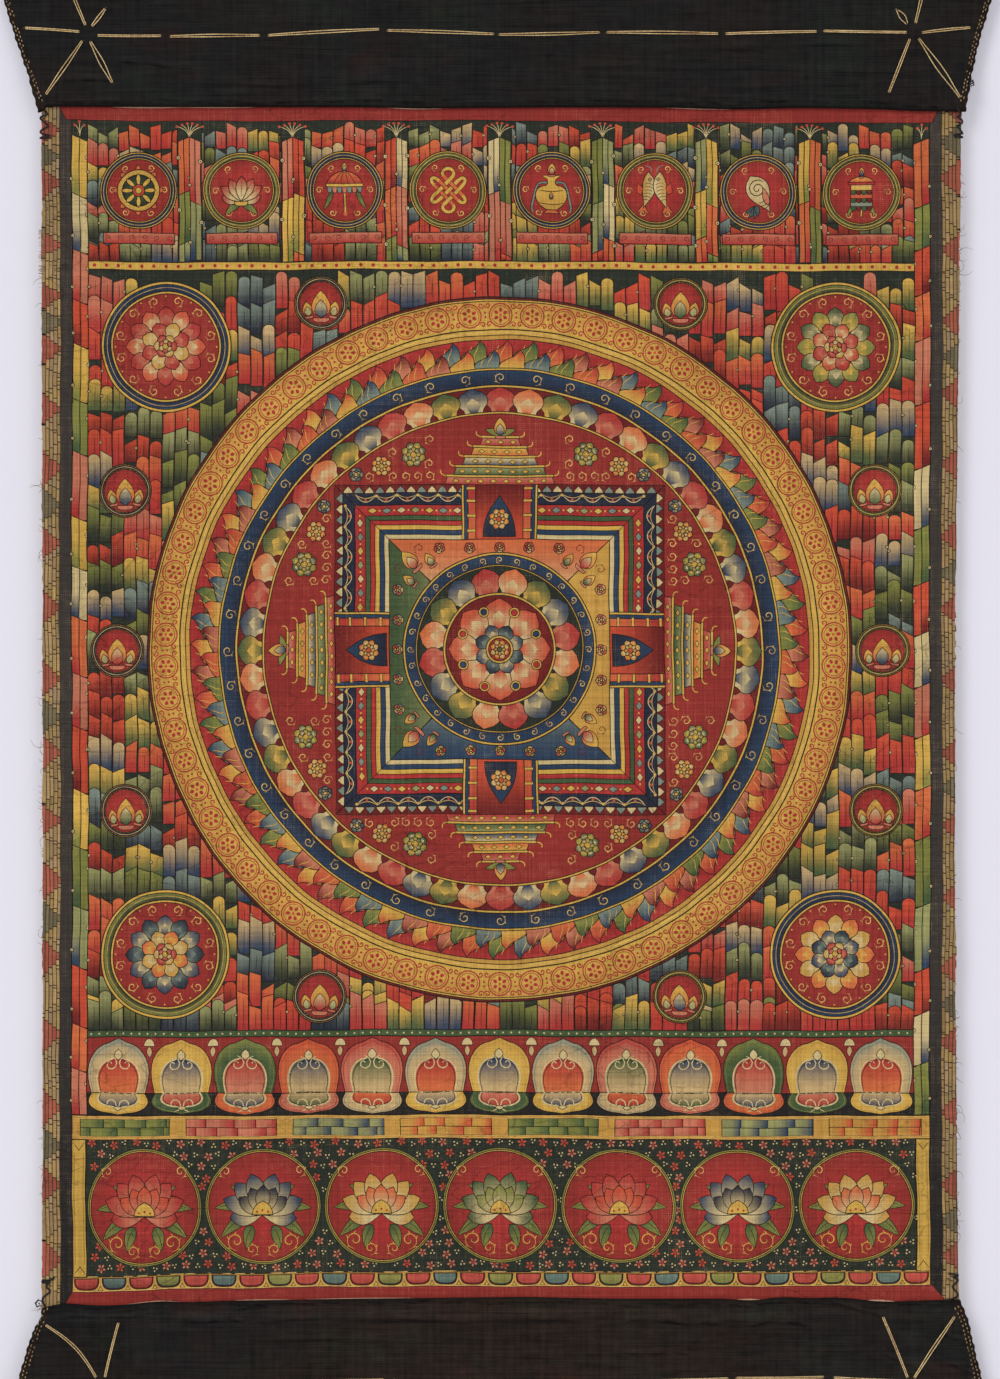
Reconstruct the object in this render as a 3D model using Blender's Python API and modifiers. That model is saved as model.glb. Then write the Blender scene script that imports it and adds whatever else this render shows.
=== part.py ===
"""A hanging scroll painting: painted cotton between two panels of dark mount cloth.

Metres, +Z up. The painted face looks along -Y, and the origin is the middle of the
top edge, where the scroll is held. Each cloth is an open sheet that is bent to the
way it hangs and then given its thickness.
"""

import math
from collections import namedtuple

import bmesh
import bpy

MM = 0.001

# Driving sizes
SHEET = 1.0 * MM            # thickness of every cloth
GAP = 0.4 * MM              # space between two lapped cloths, so that 0.3 mm stays clear
                            # where they curve
LAP = 8.0 * MM              # how far each mount panel reaches over the painting
TOP_PANEL = 72.4 * MM       # held edge to the upper seam
PICTURE = 478.4 * MM        # upper seam to the lower seam
BOTTOM_PANEL = 76.8 * MM    # lower seam to the free edge

# Places down the scroll, measured as a drop below the held edge
UPPER_SEAM = TOP_PANEL
LOWER_SEAM = UPPER_SEAM + PICTURE
FREE_EDGE = LOWER_SEAM + BOTTOM_PANEL
CLOTH_TOP = UPPER_SEAM - LAP
CLOTH_BOTTOM = LOWER_SEAM + LAP

# The sheets are divided into this many strips across, and rows no taller than this
COLUMNS = 26
ROW_HEIGHT = 15.0 * MM

# The two side edges of each cloth: a row for each place where an edge changes course
Side = namedtuple("Side", "drop left right")

TOP_SIDES = [
    Side(drop=0.0, left=-206.0 * MM, right=204.0 * MM),
    Side(drop=30.0 * MM, left=-198.6 * MM, right=196.6 * MM),
    Side(drop=46.0 * MM, left=-193.6 * MM, right=191.8 * MM),
    Side(drop=62.0 * MM, left=-188.0 * MM, right=188.2 * MM),
    Side(drop=UPPER_SEAM, left=-184.4 * MM, right=186.0 * MM),
]
PAINTED_SIDES = [
    Side(drop=CLOTH_TOP, left=-183.2 * MM, right=184.6 * MM),
    Side(drop=150.0 * MM, left=-183.2 * MM, right=183.6 * MM),
    Side(drop=270.0 * MM, left=-182.8 * MM, right=182.0 * MM),
    Side(drop=366.0 * MM, left=-182.8 * MM, right=181.8 * MM),
    Side(drop=480.0 * MM, left=-182.8 * MM, right=182.4 * MM),
    Side(drop=CLOTH_BOTTOM, left=-183.2 * MM, right=183.4 * MM),
]
BOTTOM_SIDES = [
    Side(drop=LOWER_SEAM, left=-184.2 * MM, right=184.6 * MM),
    Side(drop=562.0 * MM, left=-186.6 * MM, right=187.4 * MM),
    Side(drop=582.0 * MM, left=-192.6 * MM, right=192.8 * MM),
    Side(drop=FREE_EDGE, left=-206.4 * MM, right=205.6 * MM),
]

# Soft upright folds, the same in all three cloths because they are sewn together
Fold = namedtuple("Fold", "height spacing start slant")

FOLDS = [
    Fold(height=1.0 * MM, spacing=310 * MM, start=0.10, slant=0.00),
    Fold(height=0.6 * MM, spacing=142 * MM, start=0.62, slant=0.12),
    Fold(height=0.3 * MM, spacing=83 * MM, start=0.30, slant=-0.25),
]
FOLDS_FULL_AT = 130 * MM    # drop at which the folds have grown to their height
FREE_GROWTH = 0.8           # how much more they swing at the free edge
FREE_FROM = 470 * MM        # drop from which they swing more

# The side edges stand forward of the middle
CURL = 2.2 * MM
CURL_FROM = 148 * MM
CURL_TO = 192 * MM

# A mount panel steps forward over the painting's edge, then falls back beside it
STEP_LEVEL = 1.5 * MM       # it stays forward this far past the hidden edge
STEP_FALL = 10.0 * MM       # and takes this much more to fall back

# The folded mount edges wander a little along the two seams
Wander = namedtuple("Wander", "height spacing start")

UPPER_WANDER = [
    Wander(height=0.5 * MM, spacing=190 * MM, start=0.05),
    Wander(height=0.25 * MM, spacing=71 * MM, start=0.40),
]
LOWER_WANDER = [
    Wander(height=0.55 * MM, spacing=152 * MM, start=0.55),
    Wander(height=0.3 * MM, spacing=63 * MM, start=0.15),
]


def smooth(t):
    """Ease from 0 to 1 as t goes from 0 to 1, and stay there outside."""
    t = min(max(t, 0.0), 1.0)
    return t * t * (3.0 - 2.0 * t)


def side_edges(sides, drop):
    """The left and right edge at a drop, straight between the rows of the table."""
    upper, lower = next(
        ((a, b) for a, b in zip(sides, sides[1:]) if drop <= b.drop),
        (sides[-2], sides[-1]))
    share = (drop - upper.drop) / (lower.drop - upper.drop)
    share = min(max(share, 0.0), 1.0)
    left = upper.left + share * (lower.left - upper.left)
    right = upper.right + share * (lower.right - upper.right)
    return left, right


def wander(table, x):
    """How far a seam lies below its straight line at x."""
    return sum(row.height * math.sin(2.0 * math.pi * (x / row.spacing + row.start))
               for row in table)


def forward(x, drop):
    """How far the hanging cloth stands forward, towards -Y, of the upright plane."""
    grown = smooth(drop / FOLDS_FULL_AT)
    grown += FREE_GROWTH * smooth((drop - FREE_FROM) / (FREE_EDGE - FREE_FROM))
    folds = sum(
        fold.height * math.sin(
            2.0 * math.pi * ((x + fold.slant * drop) / fold.spacing + fold.start))
        for fold in FOLDS)
    curl = CURL * smooth((abs(x) - CURL_FROM) / (CURL_TO - CURL_FROM))
    return grown * (folds + curl)


def top_step(drop):
    """The top panel's extra step forward over the painting's upper edge."""
    past_edge = (CLOTH_TOP - STEP_LEVEL) - drop
    return (SHEET + GAP) * (1.0 - smooth(past_edge / STEP_FALL))


def bottom_step(drop):
    """The bottom panel's extra step forward over the painting's lower edge."""
    past_edge = drop - (CLOTH_BOTTOM + STEP_LEVEL)
    return (SHEET + GAP) * (1.0 - smooth(past_edge / STEP_FALL))


def no_step(drop):
    """The painted cloth takes no step."""
    return 0.0


def even_rows(start, end):
    """Evenly spaced drops from start to end, no more than ROW_HEIGHT apart."""
    count = max(1, math.ceil((end - start) / ROW_HEIGHT))
    return [start + (end - start) * row / count for row in range(count + 1)]


def material(name, colour, roughness):
    """A plain cloth finish."""
    finish = bpy.data.materials.new(name)
    finish.use_nodes = True
    shader = finish.node_tree.nodes["Principled BSDF"]
    shader.inputs["Base Color"].default_value = (*colour, 1.0)
    shader.inputs["Roughness"].default_value = roughness
    shader.inputs["Metallic"].default_value = 0.0
    return finish


def hang_cloth(name, drops, sides, step, seam, finish, parent, collection):
    """One cloth: a grid of the given rows, bent as it hangs, with its thickness.

    seam is the row number of the edge that wanders and its wander table, or None.
    """
    bm = bmesh.new()
    last_row = len(drops) - 1
    bmesh.ops.create_grid(bm, x_segments=COLUMNS, y_segments=last_row, size=1.0)
    for vert in bm.verts:
        across = (vert.co.x + 1.0) / 2.0
        row = round((1.0 - vert.co.y) / 2.0 * last_row)
        drop = drops[row]
        left, right = side_edges(sides, drop)
        x = left + across * (right - left)
        edge_drop = drop
        if seam is not None and row == seam[0]:
            edge_drop = drop + wander(seam[1], x)
        vert.co = (x, -(forward(x, drop) + step(drop)), -edge_drop)
    mesh = bpy.data.meshes.new(name)
    bm.to_mesh(mesh)
    bm.free()
    mesh.shade_smooth()
    mesh.materials.append(finish)

    cloth = bpy.data.objects.new(name, mesh)
    cloth.parent = parent
    collection.objects.link(cloth)
    thick = cloth.modifiers.new("cloth thickness", "SOLIDIFY")
    thick.thickness = SHEET
    thick.offset = 0.0
    thick.use_even_offset = True
    return cloth


def build_scroll():
    for old in list(bpy.data.objects):
        bpy.data.objects.remove(old, do_unlink=True)

    collection = bpy.data.collections.new("hanging_scroll_painting")
    bpy.context.scene.collection.children.link(collection)
    held_edge = bpy.data.objects.new("held_edge", None)
    held_edge.empty_display_size = 0.05
    collection.objects.link(held_edge)

    paint = material("painted cotton", (0.36, 0.10, 0.07), 0.85)
    dark_cloth = material("dark mount cloth", (0.018, 0.015, 0.014), 0.9)

    top_rows = even_rows(0.0, CLOTH_TOP - STEP_LEVEL - STEP_FALL)
    top_rows += [CLOTH_TOP - STEP_LEVEL - STEP_FALL / 2.0,
                 CLOTH_TOP - STEP_LEVEL, UPPER_SEAM]
    hang_cloth("top_mount", top_rows, TOP_SIDES, top_step,
               (len(top_rows) - 1, UPPER_WANDER), dark_cloth, held_edge, collection)

    hang_cloth("painted_cloth", even_rows(CLOTH_TOP, CLOTH_BOTTOM), PAINTED_SIDES,
               no_step, None, paint, held_edge, collection)

    bottom_rows = [LOWER_SEAM, CLOTH_BOTTOM + STEP_LEVEL,
                   CLOTH_BOTTOM + STEP_LEVEL + STEP_FALL / 2.0]
    bottom_rows += even_rows(CLOTH_BOTTOM + STEP_LEVEL + STEP_FALL, FREE_EDGE)
    hang_cloth("bottom_mount", bottom_rows, BOTTOM_SIDES, bottom_step,
               (0, LOWER_WANDER), dark_cloth, held_edge, collection)


build_scroll()
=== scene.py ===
# %% [markdown]
# # A hanging scroll painting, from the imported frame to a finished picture
#
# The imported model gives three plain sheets: the painted cotton and the two panels of
# dark mount cloth. This lesson dresses them. The picture is drawn in flat outlines, as
# a painter fills areas with mineral colour, and laid over the hanging cloth.

# %% Load the frame
import math
import random

import bpy
import numpy as np
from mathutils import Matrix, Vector, noise
from mathutils.bvhtree import BVHTree
from mathutils.geometry import delaunay_2d_cdt


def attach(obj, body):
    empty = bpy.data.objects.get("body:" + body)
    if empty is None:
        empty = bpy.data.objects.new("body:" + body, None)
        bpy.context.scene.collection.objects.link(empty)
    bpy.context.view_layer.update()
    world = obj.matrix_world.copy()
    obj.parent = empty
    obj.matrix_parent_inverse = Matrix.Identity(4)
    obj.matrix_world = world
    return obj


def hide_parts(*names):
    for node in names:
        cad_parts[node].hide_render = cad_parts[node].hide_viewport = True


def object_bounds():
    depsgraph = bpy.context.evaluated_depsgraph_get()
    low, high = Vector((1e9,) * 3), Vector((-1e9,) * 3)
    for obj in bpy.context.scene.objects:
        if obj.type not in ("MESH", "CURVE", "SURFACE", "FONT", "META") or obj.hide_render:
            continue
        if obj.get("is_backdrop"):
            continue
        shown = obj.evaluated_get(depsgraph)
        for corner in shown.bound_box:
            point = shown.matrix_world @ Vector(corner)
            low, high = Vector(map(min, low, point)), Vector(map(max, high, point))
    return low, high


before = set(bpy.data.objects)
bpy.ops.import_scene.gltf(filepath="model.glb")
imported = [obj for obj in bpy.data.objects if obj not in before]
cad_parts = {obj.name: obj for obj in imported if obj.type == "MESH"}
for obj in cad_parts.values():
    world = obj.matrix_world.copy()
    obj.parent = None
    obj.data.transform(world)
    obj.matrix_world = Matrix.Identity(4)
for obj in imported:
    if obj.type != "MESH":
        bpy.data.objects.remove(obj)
cad_box = [list(corner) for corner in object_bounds()]
MM = 0.001
print("CAD box in mm:", [[round(v / MM, 1) for v in corner] for corner in cad_box])

# %% [markdown]
# The scroll is flat and seen face on, so a long lens is right: the flare of the mount
# panels is their own and not the camera's. The picture takes in 400 mm of width, which
# cuts both panels as it should.

# %% Camera
PIXEL = 0.4 * MM                  # what one pixel of the photograph covers
FRAME_ROWS = 1379
HELD_EDGE_ROW = -75               # the held edge lies this many pixels above the frame
CAMERA_DISTANCE = 2.4

view_height = FRAME_ROWS * PIXEL
view_middle = -(FRAME_ROWS / 2 - HELD_EDGE_ROW) * PIXEL
camera_data = bpy.data.cameras.new("camera")
camera_data.sensor_width = 36.0
camera_data.lens = camera_data.sensor_width * CAMERA_DISTANCE / view_height
camera = bpy.data.objects.new("camera", camera_data)
camera.location = (0, -CAMERA_DISTANCE, view_middle)
camera.rotation_euler = (math.radians(90), 0, 0)
bpy.context.scene.collection.objects.link(camera)
bpy.context.scene.camera = camera
print("lens in mm:", round(camera_data.lens, 1))

# %% [markdown]
# The three cloths are sewn together, so they share the same soft upright folds: the
# numbers that bent the CAD sheets bend everything here. `forward` says how far the
# cloth stands out at a place, for whole arrays of places at once.

# %% How the cloth hangs
SHEET = 1.0 * MM
GAP = 0.4 * MM
LAP = 8.0 * MM
UPPER_SEAM = 72.4 * MM
LOWER_SEAM = UPPER_SEAM + 478.4 * MM
FREE_EDGE = LOWER_SEAM + 76.8 * MM
CLOTH_TOP = UPPER_SEAM - LAP
CLOTH_BOTTOM = LOWER_SEAM + LAP

FOLDS = [  # height, spacing, start, slant
    (1.0 * MM, 310 * MM, 0.10, 0.00),
    (0.6 * MM, 142 * MM, 0.62, 0.12),
    (0.3 * MM, 83 * MM, 0.30, -0.25),
]


def smooth(t):
    t = np.clip(t, 0.0, 1.0)
    return t * t * (3.0 - 2.0 * t)


def forward(x, drop):
    grown = smooth(drop / (130 * MM))
    grown = grown + 0.8 * smooth((drop - 470 * MM) / (FREE_EDGE - 470 * MM))
    folds = sum(height * np.sin(2 * math.pi * ((x + slant * drop) / spacing + start))
        for height, spacing, start, slant in FOLDS)
    curl = 2.2 * MM * smooth((np.abs(x) - 148 * MM) / (44 * MM))
    return grown * (folds + curl)


print("the cloth stands out by up to",
      round(float(forward(np.linspace(-0.2, 0.2, 99), FREE_EDGE).max()) / MM, 2), "mm")

# %% [markdown]
# Shader maths reads best as plain arithmetic. `Value` wraps one socket, and each
# operator adds a Math node, so `1 - mask * 0.3` works. `Finish` holds a material, and
# its method `node` makes any other node from its type, its settings and its sockets.


# %% A small helper for shader maths
class Value:
    def __init__(self, tree, socket):
        self.tree = tree
        self.socket = socket

    def math(self, operation, *others, clamp=False):
        made = self.tree.nodes.new("ShaderNodeMath")
        made.operation = operation
        made.use_clamp = clamp
        for number, value in enumerate((self, *others)):
            feed(self.tree, made.inputs[number], value)
        return Value(self.tree, made.outputs[0])

    def __add__(self, other):
        return self.math("ADD", other)

    def __sub__(self, other):
        return self.math("SUBTRACT", other)

    def __rsub__(self, other):
        return self.math("MULTIPLY_ADD", -1.0, other)

    def __mul__(self, other):
        return self.math("MULTIPLY", other)

    __radd__ = __add__
    __rmul__ = __mul__

    def sine(self):
        return self.math("SINE")

    def ramp(self, low, high):
        """0 below low and 1 above high, or the other way round where high is less."""
        return (self - low).math("DIVIDE", high - low, clamp=True)


def feed(tree, socket, value):
    """Link a wrapped output to a socket, or set the socket to a plain value."""
    if isinstance(value, Value):
        tree.links.new(value.socket, socket)
    elif socket.type == "RGBA" and len(value) == 3:
        socket.default_value = (*value, 1.0)
    else:
        socket.default_value = value


class Finish:
    def __init__(self, name, roughness, **fixed):
        self.material = bpy.data.materials.new(name)
        self.material.use_nodes = True
        self.tree = self.material.node_tree
        self.shader = self.tree.nodes["Principled BSDF"]
        self.set("Roughness", roughness)
        for socket, value in fixed.items():
            self.set(socket.replace("_", " "), value)

    def set(self, socket, value):
        feed(self.tree, self.shader.inputs[socket], value)

    def node(self, kind, settings=None, sockets=None, output=0):
        made = self.tree.nodes.new("ShaderNode" + kind)
        for setting, value in (settings or {}).items():
            setattr(made, setting, value)
        for socket, value in (sockets or {}).items():
            feed(self.tree, made.inputs[socket], value)
        return Value(self.tree, made.outputs[output])

    def blend(self, factor, first, second, kind="MIX"):
        """Colours mixed, where factor 0 gives first and 1 gives second."""
        return self.node("Mix", {"data_type": "RGBA", "blend_type": kind},
            {0: factor, 6: first, 7: second}, output=2)

    def place(self, *scale):
        """The place on the object, with each axis scaled, for textures to read."""
        where = self.node("TexCoord", output="Object")
        return self.node("VectorMath", {"operation": "MULTIPLY"}, {0: where, 1: scale})

    def axes(self, where):
        """The three numbers of a place, as three values."""
        apart = self.node("SeparateXYZ", sockets={0: where}).socket.node
        return [Value(self.tree, apart.outputs[number]) for number in range(3)]

    def noise(self, where, scale, detail=2.0, roughness=0.5):
        return self.node("TexNoise", sockets={
            "Vector": where, "Scale": scale, "Detail": detail, "Roughness": roughness})

    def bump(self, height, distance, strength=1.0):
        self.set("Normal", self.node("Bump", sockets={
            "Height": height, "Distance": distance, "Strength": strength}))

# %% [markdown]
# The painter's colours are ground minerals and plant lakes, dulled by age. They are
# kept here as the screen colours that they look like, because those are easy to judge
# by eye, and turned into linear light for the shader.

# %% Colours
PALETTE = {"crimson": (158, 47, 42), "deep red": (100, 29, 26), "vermilion": (182, 70, 45),
    "orange": (190, 96, 54), "ochre": (180, 135, 60), "yellow": (194, 154, 68), "bone": (192, 170, 118),
    "cream": (182, 152, 102), "leaf": (118, 118, 56), "sage": (138, 136, 84), "green": (62, 80, 48),
    "dark green": (38, 43, 33), "pale blue": (114, 124, 108), "teal": (60, 80, 78), "blue": (39, 57, 78),
    "indigo": (34, 38, 50), "pink": (182, 108, 80), "black": (32, 30, 27), "ink": (38, 26, 20),
    "cotton": (178, 158, 118), "band": (56, 50, 44), "low band": (34, 31, 28), "gold": (196, 158, 80),
    "red band": (132, 43, 36), "ochre shade": (132, 94, 44)}


def linear(colour):
    share = np.array(colour, float) / 255.0
    return np.where(share <= 0.04045, share / 12.92, ((share + 0.055) / 1.055) ** 2.4)


def shade(*screen):
    """A screen colour, ready for a shader's socket."""
    return tuple(linear(screen))


COLOUR = {name: linear(screen) for name, screen in PALETTE.items()}


print(len(COLOUR), "colours")

# %% [markdown]
# The picture is drawn in millimetres, x to the right and z up from the held edge. A
# `Spot` is a small sheet of tracing paper: a motif is drawn round its own middle, and
# the spot moves, sizes, turns or mirrors it into place.


# %% Places on the picture
class Spot:
    def __init__(self, x, z, size=1.0, turn=0.0, flip=1):
        angle = math.radians(turn)
        c, s = math.cos(angle) * size, math.sin(angle) * size
        self.matrix = np.array([[c * flip, -s], [s * flip, c]])
        self.middle = np.array([x, z], float)

    def __call__(self, points):
        return np.asarray(points, float) @ self.matrix.T + self.middle

    @property
    def scale(self):
        return math.sqrt(abs(np.linalg.det(self.matrix)))

    def spot(self, x, z, size=1.0, turn=0.0, flip=1):
        """A spot on this spot."""
        inner = Spot(x, z, size, turn, flip)
        made = Spot(0, 0)
        made.matrix = self.matrix @ inner.matrix
        made.middle = self(inner.middle)
        return made

    def around(self, count, radius=0.0, start=0.0):
        """Spots set evenly round this one, each with its up direction outwards."""
        for number in range(count):
            angle = start + 360.0 * number / count
            turn = math.radians(angle)
            yield self.spot(-radius * math.sin(turn), radius * math.cos(turn), turn=angle)


PAGE = Spot(0, 0)

# %% [markdown]
# A few outlines are enough for the whole picture: circles, petals with a point, round
# topped arches, boxes, curls and leaves. Each gives only the points that it needs.


# %% Outlines
def ring(radius, count):
    turn = np.arange(count) * (2 * math.pi / count)
    return np.stack([radius * np.cos(turn), radius * np.sin(turn)], 1)


def circle(radius, step=None):
    step = step or 1.3 + 0.02 * radius
    return ring(radius, max(10 if radius > 1.6 else 8, int(2 * math.pi * radius / step)))


def box(left, low, right, high):
    return np.array([(left, low), (right, low), (right, high), (left, high)], float)


def slab(half, low, high):
    """A box that reaches as far to the left as to the right."""
    return box(-half, low, half, high)


def petal(length, width, belly=0.45, fullness=0.8, count=7, base=0.0):
    """A petal that stands on the middle: pointed, and widest at its belly."""
    along = np.linspace(0, 1, count + 1)
    bend = math.log(0.5) / math.log(belly)
    half = width / 2 * np.sin(math.pi * along ** bend).clip(0) ** fullness
    half = np.maximum(half, base * width / 2 * (1 - along) ** 0.5)
    right = np.stack([half, along * length], 1)
    left = right[::-1] * (-1, 1)
    skip = 1 if half[0] < 1e-6 else 0
    return np.concatenate([right, left[1:len(left) - skip]])


def arch(width, height, point=0.12, count=9):
    """A flat-based arch whose round top draws up to a slight point."""
    turn = np.linspace(0, math.pi / 2, count)
    x = width / 2 * np.cos(turn)
    z = height * ((1 - point) * np.sin(turn) + point * (turn / (math.pi / 2)) ** 5)
    right = np.stack([x, z], 1)
    return np.concatenate([right, (right[::-1] * (-1, 1))[1:]])


CURL_EYE = 0.12                   # how much of its reach a curl keeps at its inner end


def curl(radius, turns=1.3, start=0.0, count=14, middle=(0, 0)):
    """A spiral line that winds in towards the middle."""
    along = np.linspace(0, 1, count)
    reach = radius * (1 - (1 - CURL_EYE) * along)
    angle = math.radians(start) + turns * 2 * math.pi * along
    return np.stack([middle[0] + reach * np.cos(angle), middle[1] + reach * np.sin(angle)], 1)


def leaf(length, width, sweep=0.3, count=7):
    """A leaf that bends to the side as it goes."""
    made = petal(length, width, belly=0.4, count=count)
    made[:, 0] += sweep * length * (made[:, 1] / length) ** 2
    return made


def bezier(*knots, count=12):
    """A smooth line drawn towards its knots, through the first and the last."""
    knots = np.array(knots, float)
    along = np.linspace(0, 1, count)[:, None, None]
    line = np.repeat(knots[None], count, 0)
    while line.shape[1] > 1:
        line = line[:, :-1] * (1 - along) + line[:, 1:] * along
    return line[:, 0]


# %% [markdown]
# The painter works in layers: flat fields of colour, then thin ink outlines, then gold
# lines. A field keeps its outline and a tint, a rule that gives each point its colour,
# so that a petal can fade. Later fields cover earlier ones.


# %% The painter
INK_WIDTH = 0.34


def flat(name):
    colour = COLOUR[name] if isinstance(name, str) else name
    return lambda points: np.broadcast_to(colour, (len(points), 3))


def fade(spot, first, start, second, end):
    """A tint that goes from the first colour at start to the second at end."""
    start, end = spot([start, end])
    first, second = (COLOUR[c] if isinstance(c, str) else c for c in (first, second))
    way = (end - start) / np.dot(end - start, end - start)
    return lambda points: first + smooth((points - start) @ way)[:, None] * (second - first)


def glow(spot, inner, outer, end, start=0.0):
    """A tint that goes from the inner colour at radius start to the outer at end."""
    middle = spot.middle
    width = (end - start) * spot.scale
    return lambda points: COLOUR[inner] + smooth((np.linalg.norm(points - middle, axis=1)
        - start * spot.scale) / width)[:, None] * (COLOUR[outer] - COLOUR[inner])


class Painter:
    def __init__(self):
        self.fields = []
        self.ink = []
        self.gold = []

    def fill(self, outline, tint, rim="ink", width=INK_WIDTH):
        """A field of colour with a rim line, or none where rim is None."""
        tint = tint if callable(tint) else flat(tint)
        outline = np.asarray(outline, float)
        x, z = outline.T
        if np.dot(x, np.roll(z, -1)) < np.dot(z, np.roll(x, -1)):
            outline = outline[::-1]
        self.fields.append((outline, tint))
        if rim:
            self.line(outline, width, rim, closed=True)

    def line(self, points, width=INK_WIDTH, colour="ink", closed=False, taper=False):
        """A thin line, which later fields cover: it keeps how many came before it."""
        kept = self.gold if colour == "gold" else self.ink
        kept.append((np.asarray(points, float), width, COLOUR[colour], closed, taper, len(self.fields)))

    def stroke(self, points, width, tint, rim="ink"):
        """A broad stroke: a chain of small fields with a thin line down both sides."""
        way = np.gradient(points, axis=0)
        way = way / np.linalg.norm(way, axis=1)[:, None] * width / 2
        left = points + way[:, ::-1] * (-1, 1)
        right = points + way[:, ::-1] * (1, -1)
        for here in range(len(points) - 1):
            self.fill([left[here], right[here], right[here + 1], left[here + 1]], tint, rim=None)
        if rim:
            self.line(left, 0.24, rim)
            self.line(right, 0.24, rim)

    def disc(self, spot, radius, tint, rim="ink", width=INK_WIDTH):
        self.fill(spot(circle(radius, (1.3 + 0.02 * radius) / spot.scale)), tint, rim, width)

    def dot(self, spot, radius, colour):
        """A small dot, such as a bead, drawn as a field with no rim line."""
        sides = 6 if radius * spot.scale < 0.5 else 8
        self.fill(spot(ring(radius, sides)), colour, rim=None)


painter = Painter()
fill, line, disc, dot = painter.fill, painter.line, painter.disc, painter.dot
stroke = painter.stroke


def shaded(spot, outline, first, start, second, end, rim="ink", width=INK_WIDTH):
    """A field on a spot, which fades upwards from one colour at start to the next at end."""
    fill(spot(outline), fade(spot, first, (0, start), second, (0, end)), rim, width)


def evenly(count, reach):
    """The width of each of count equal shares from -reach to reach, and their middles."""
    pitch = 2 * reach / count
    return pitch, [-reach + pitch * (number + 0.5) for number in range(count)]


def by_turns(spot, number):
    """The same spot, mirrored at every second number."""
    return spot.spot(0, 0, flip=(-1, 1)[number % 2])


# %% [markdown]
# The borders come first, because they frame the rest. Down both sides runs a strip of
# five narrow staves, whose joints climb and fall like stairs and make a row of
# triangles with their feet on the outer edge. Every second one is dull red, and every
# third of the others is olive. Staves drawn one by one give that uneven edge.


# %% The side strips of staves
STRIP_INNER = 176.3
BAND_INNER = 171.5
PAINT_TOP = -67.0                 # the paint runs on a little under each mount panel
PAINT_BOTTOM = -556.0
STAVE_SIDES = (184.9, 182.1, 180.7, 179.2, 177.6, 176.3)
LEFT_RED_ROWS = np.array([        # the photograph's rows where each red one is widest
    132, 185, 245, 297, 350, 409, 469, 542, 607, 679, 752, 820, 880, 957, 1034, 1107, 1182,
    1254, 1330])
RED_DROPS = {-1: (LEFT_RED_ROWS - HELD_EDGE_ROW) * PIXEL / MM, 1: 72.0 + 28.8 * np.arange(19)}
COLOUR["tan strip"] = linear((154, 127, 84))
COLOUR["red strip"] = linear((150, 80, 60))
COLOUR["olive strip"] = linear((104, 94, 68))
COLOUR["stave line"] = linear((66, 48, 31))

chance = random.Random(7)


def varied(name, amount=0.08):
    """A colour a shade lighter or darker by chance, as from another brushful."""
    return COLOUR[name] * (1 + chance.uniform(-amount, amount))


def triangle_row(side):
    """The middle, the room and the colour of each triangle down one strip."""
    reds = RED_DROPS[side]
    for number, (red, following) in enumerate(zip(reds, reds[1:])):
        room = (following - red) / 2
        yield red, room, "red strip"
        yield red + room, room, "tan strip" if number % 3 else "olive strip"


brick_chance = random.Random(11)


def bricks(left, right, low, high, tone):
    """Fill a stave from low to high in bricks of uneven length, and return the joints."""
    joints = sorted(brick_chance.uniform(low + 1, high - 1) for _ in range(int((high - low) / 5)))
    for start, end in zip([low] + joints, joints + [high]):
        warm = np.array([1.0, 1.0, 1 + brick_chance.uniform(-0.25, 0.2)])
        fill(box(left, start, right, end), tone * warm * brick_chance.uniform(0.85, 1.1), rim=None)
    return [(left, right, joint) for joint in joints]


def stave_strip(side):
    joints = []
    light = 0.9 if side > 0 else 1.0   # the right strip is a little duller
    for number, pair in enumerate(zip(STAVE_SIDES, STAVE_SIDES[1:])):
        left, right = sorted(side * x for x in pair)
        above = PAINT_TOP
        for drop, room, name in triangle_row(side):
            half = (0.47 - 0.093 * number) * room
            top = -drop + half + chance.uniform(-0.5, 0.5)
            low = -drop - half + chance.uniform(-0.5, 0.5)
            warm = 1 + chance.uniform(-0.12, 0.12) * np.array([0.3, -0.2, -1.0])
            joints += bricks(left, right, top, above, varied("tan strip", 0.14) * warm * light)
            fill(box(left, low, right, top), varied(name, 0.2) * light, rim=None)
            joints += [(left, right, top), (left, right, low)]
            above = low
        joints += bricks(left, right, PAINT_BOTTOM, above, varied("tan strip") * light)
    for x in STAVE_SIDES[1:]:
        line([(side * x, PAINT_TOP), (side * x, PAINT_BOTTOM)], 0.3, "stave line")
    for left, right, z in joints:
        line([(left - 0.1, z + 0.1), (right + 0.1, z - 0.1)], 0.68)


fill(slab(186, PAINT_BOTTOM, PAINT_TOP), "dark green", rim=None)
for side in (-1, 1):
    stave_strip(side)
print("side strips:", len(painter.fields), "fields,", len(painter.ink), "lines")

# %% [markdown]
# Inside the strips are two plain bands, nearly black at the sides and red at the top
# and bottom. They meet in a mitre, as the cloth borders that they stand for would.

# %% The plain bands
RED_TOP, PICTURE_TOP = -70.0, -78.6
RED_BOTTOM = -544.6
MITRE = 5.6                       # how tall each mitre is, and next how far out it starts
MITRES = {"low left": (0.0, 3.4), "low right": (0.6, 5.6), "top right": (0.9, 3.6),
          "top left": (2.2, 5.2)}  # and ends, hand-drawn and all unlike

DARKENS_FROM, DARKENS_TO = -370.0, -545.0     # the side bands grow darker towards the lower end

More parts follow.
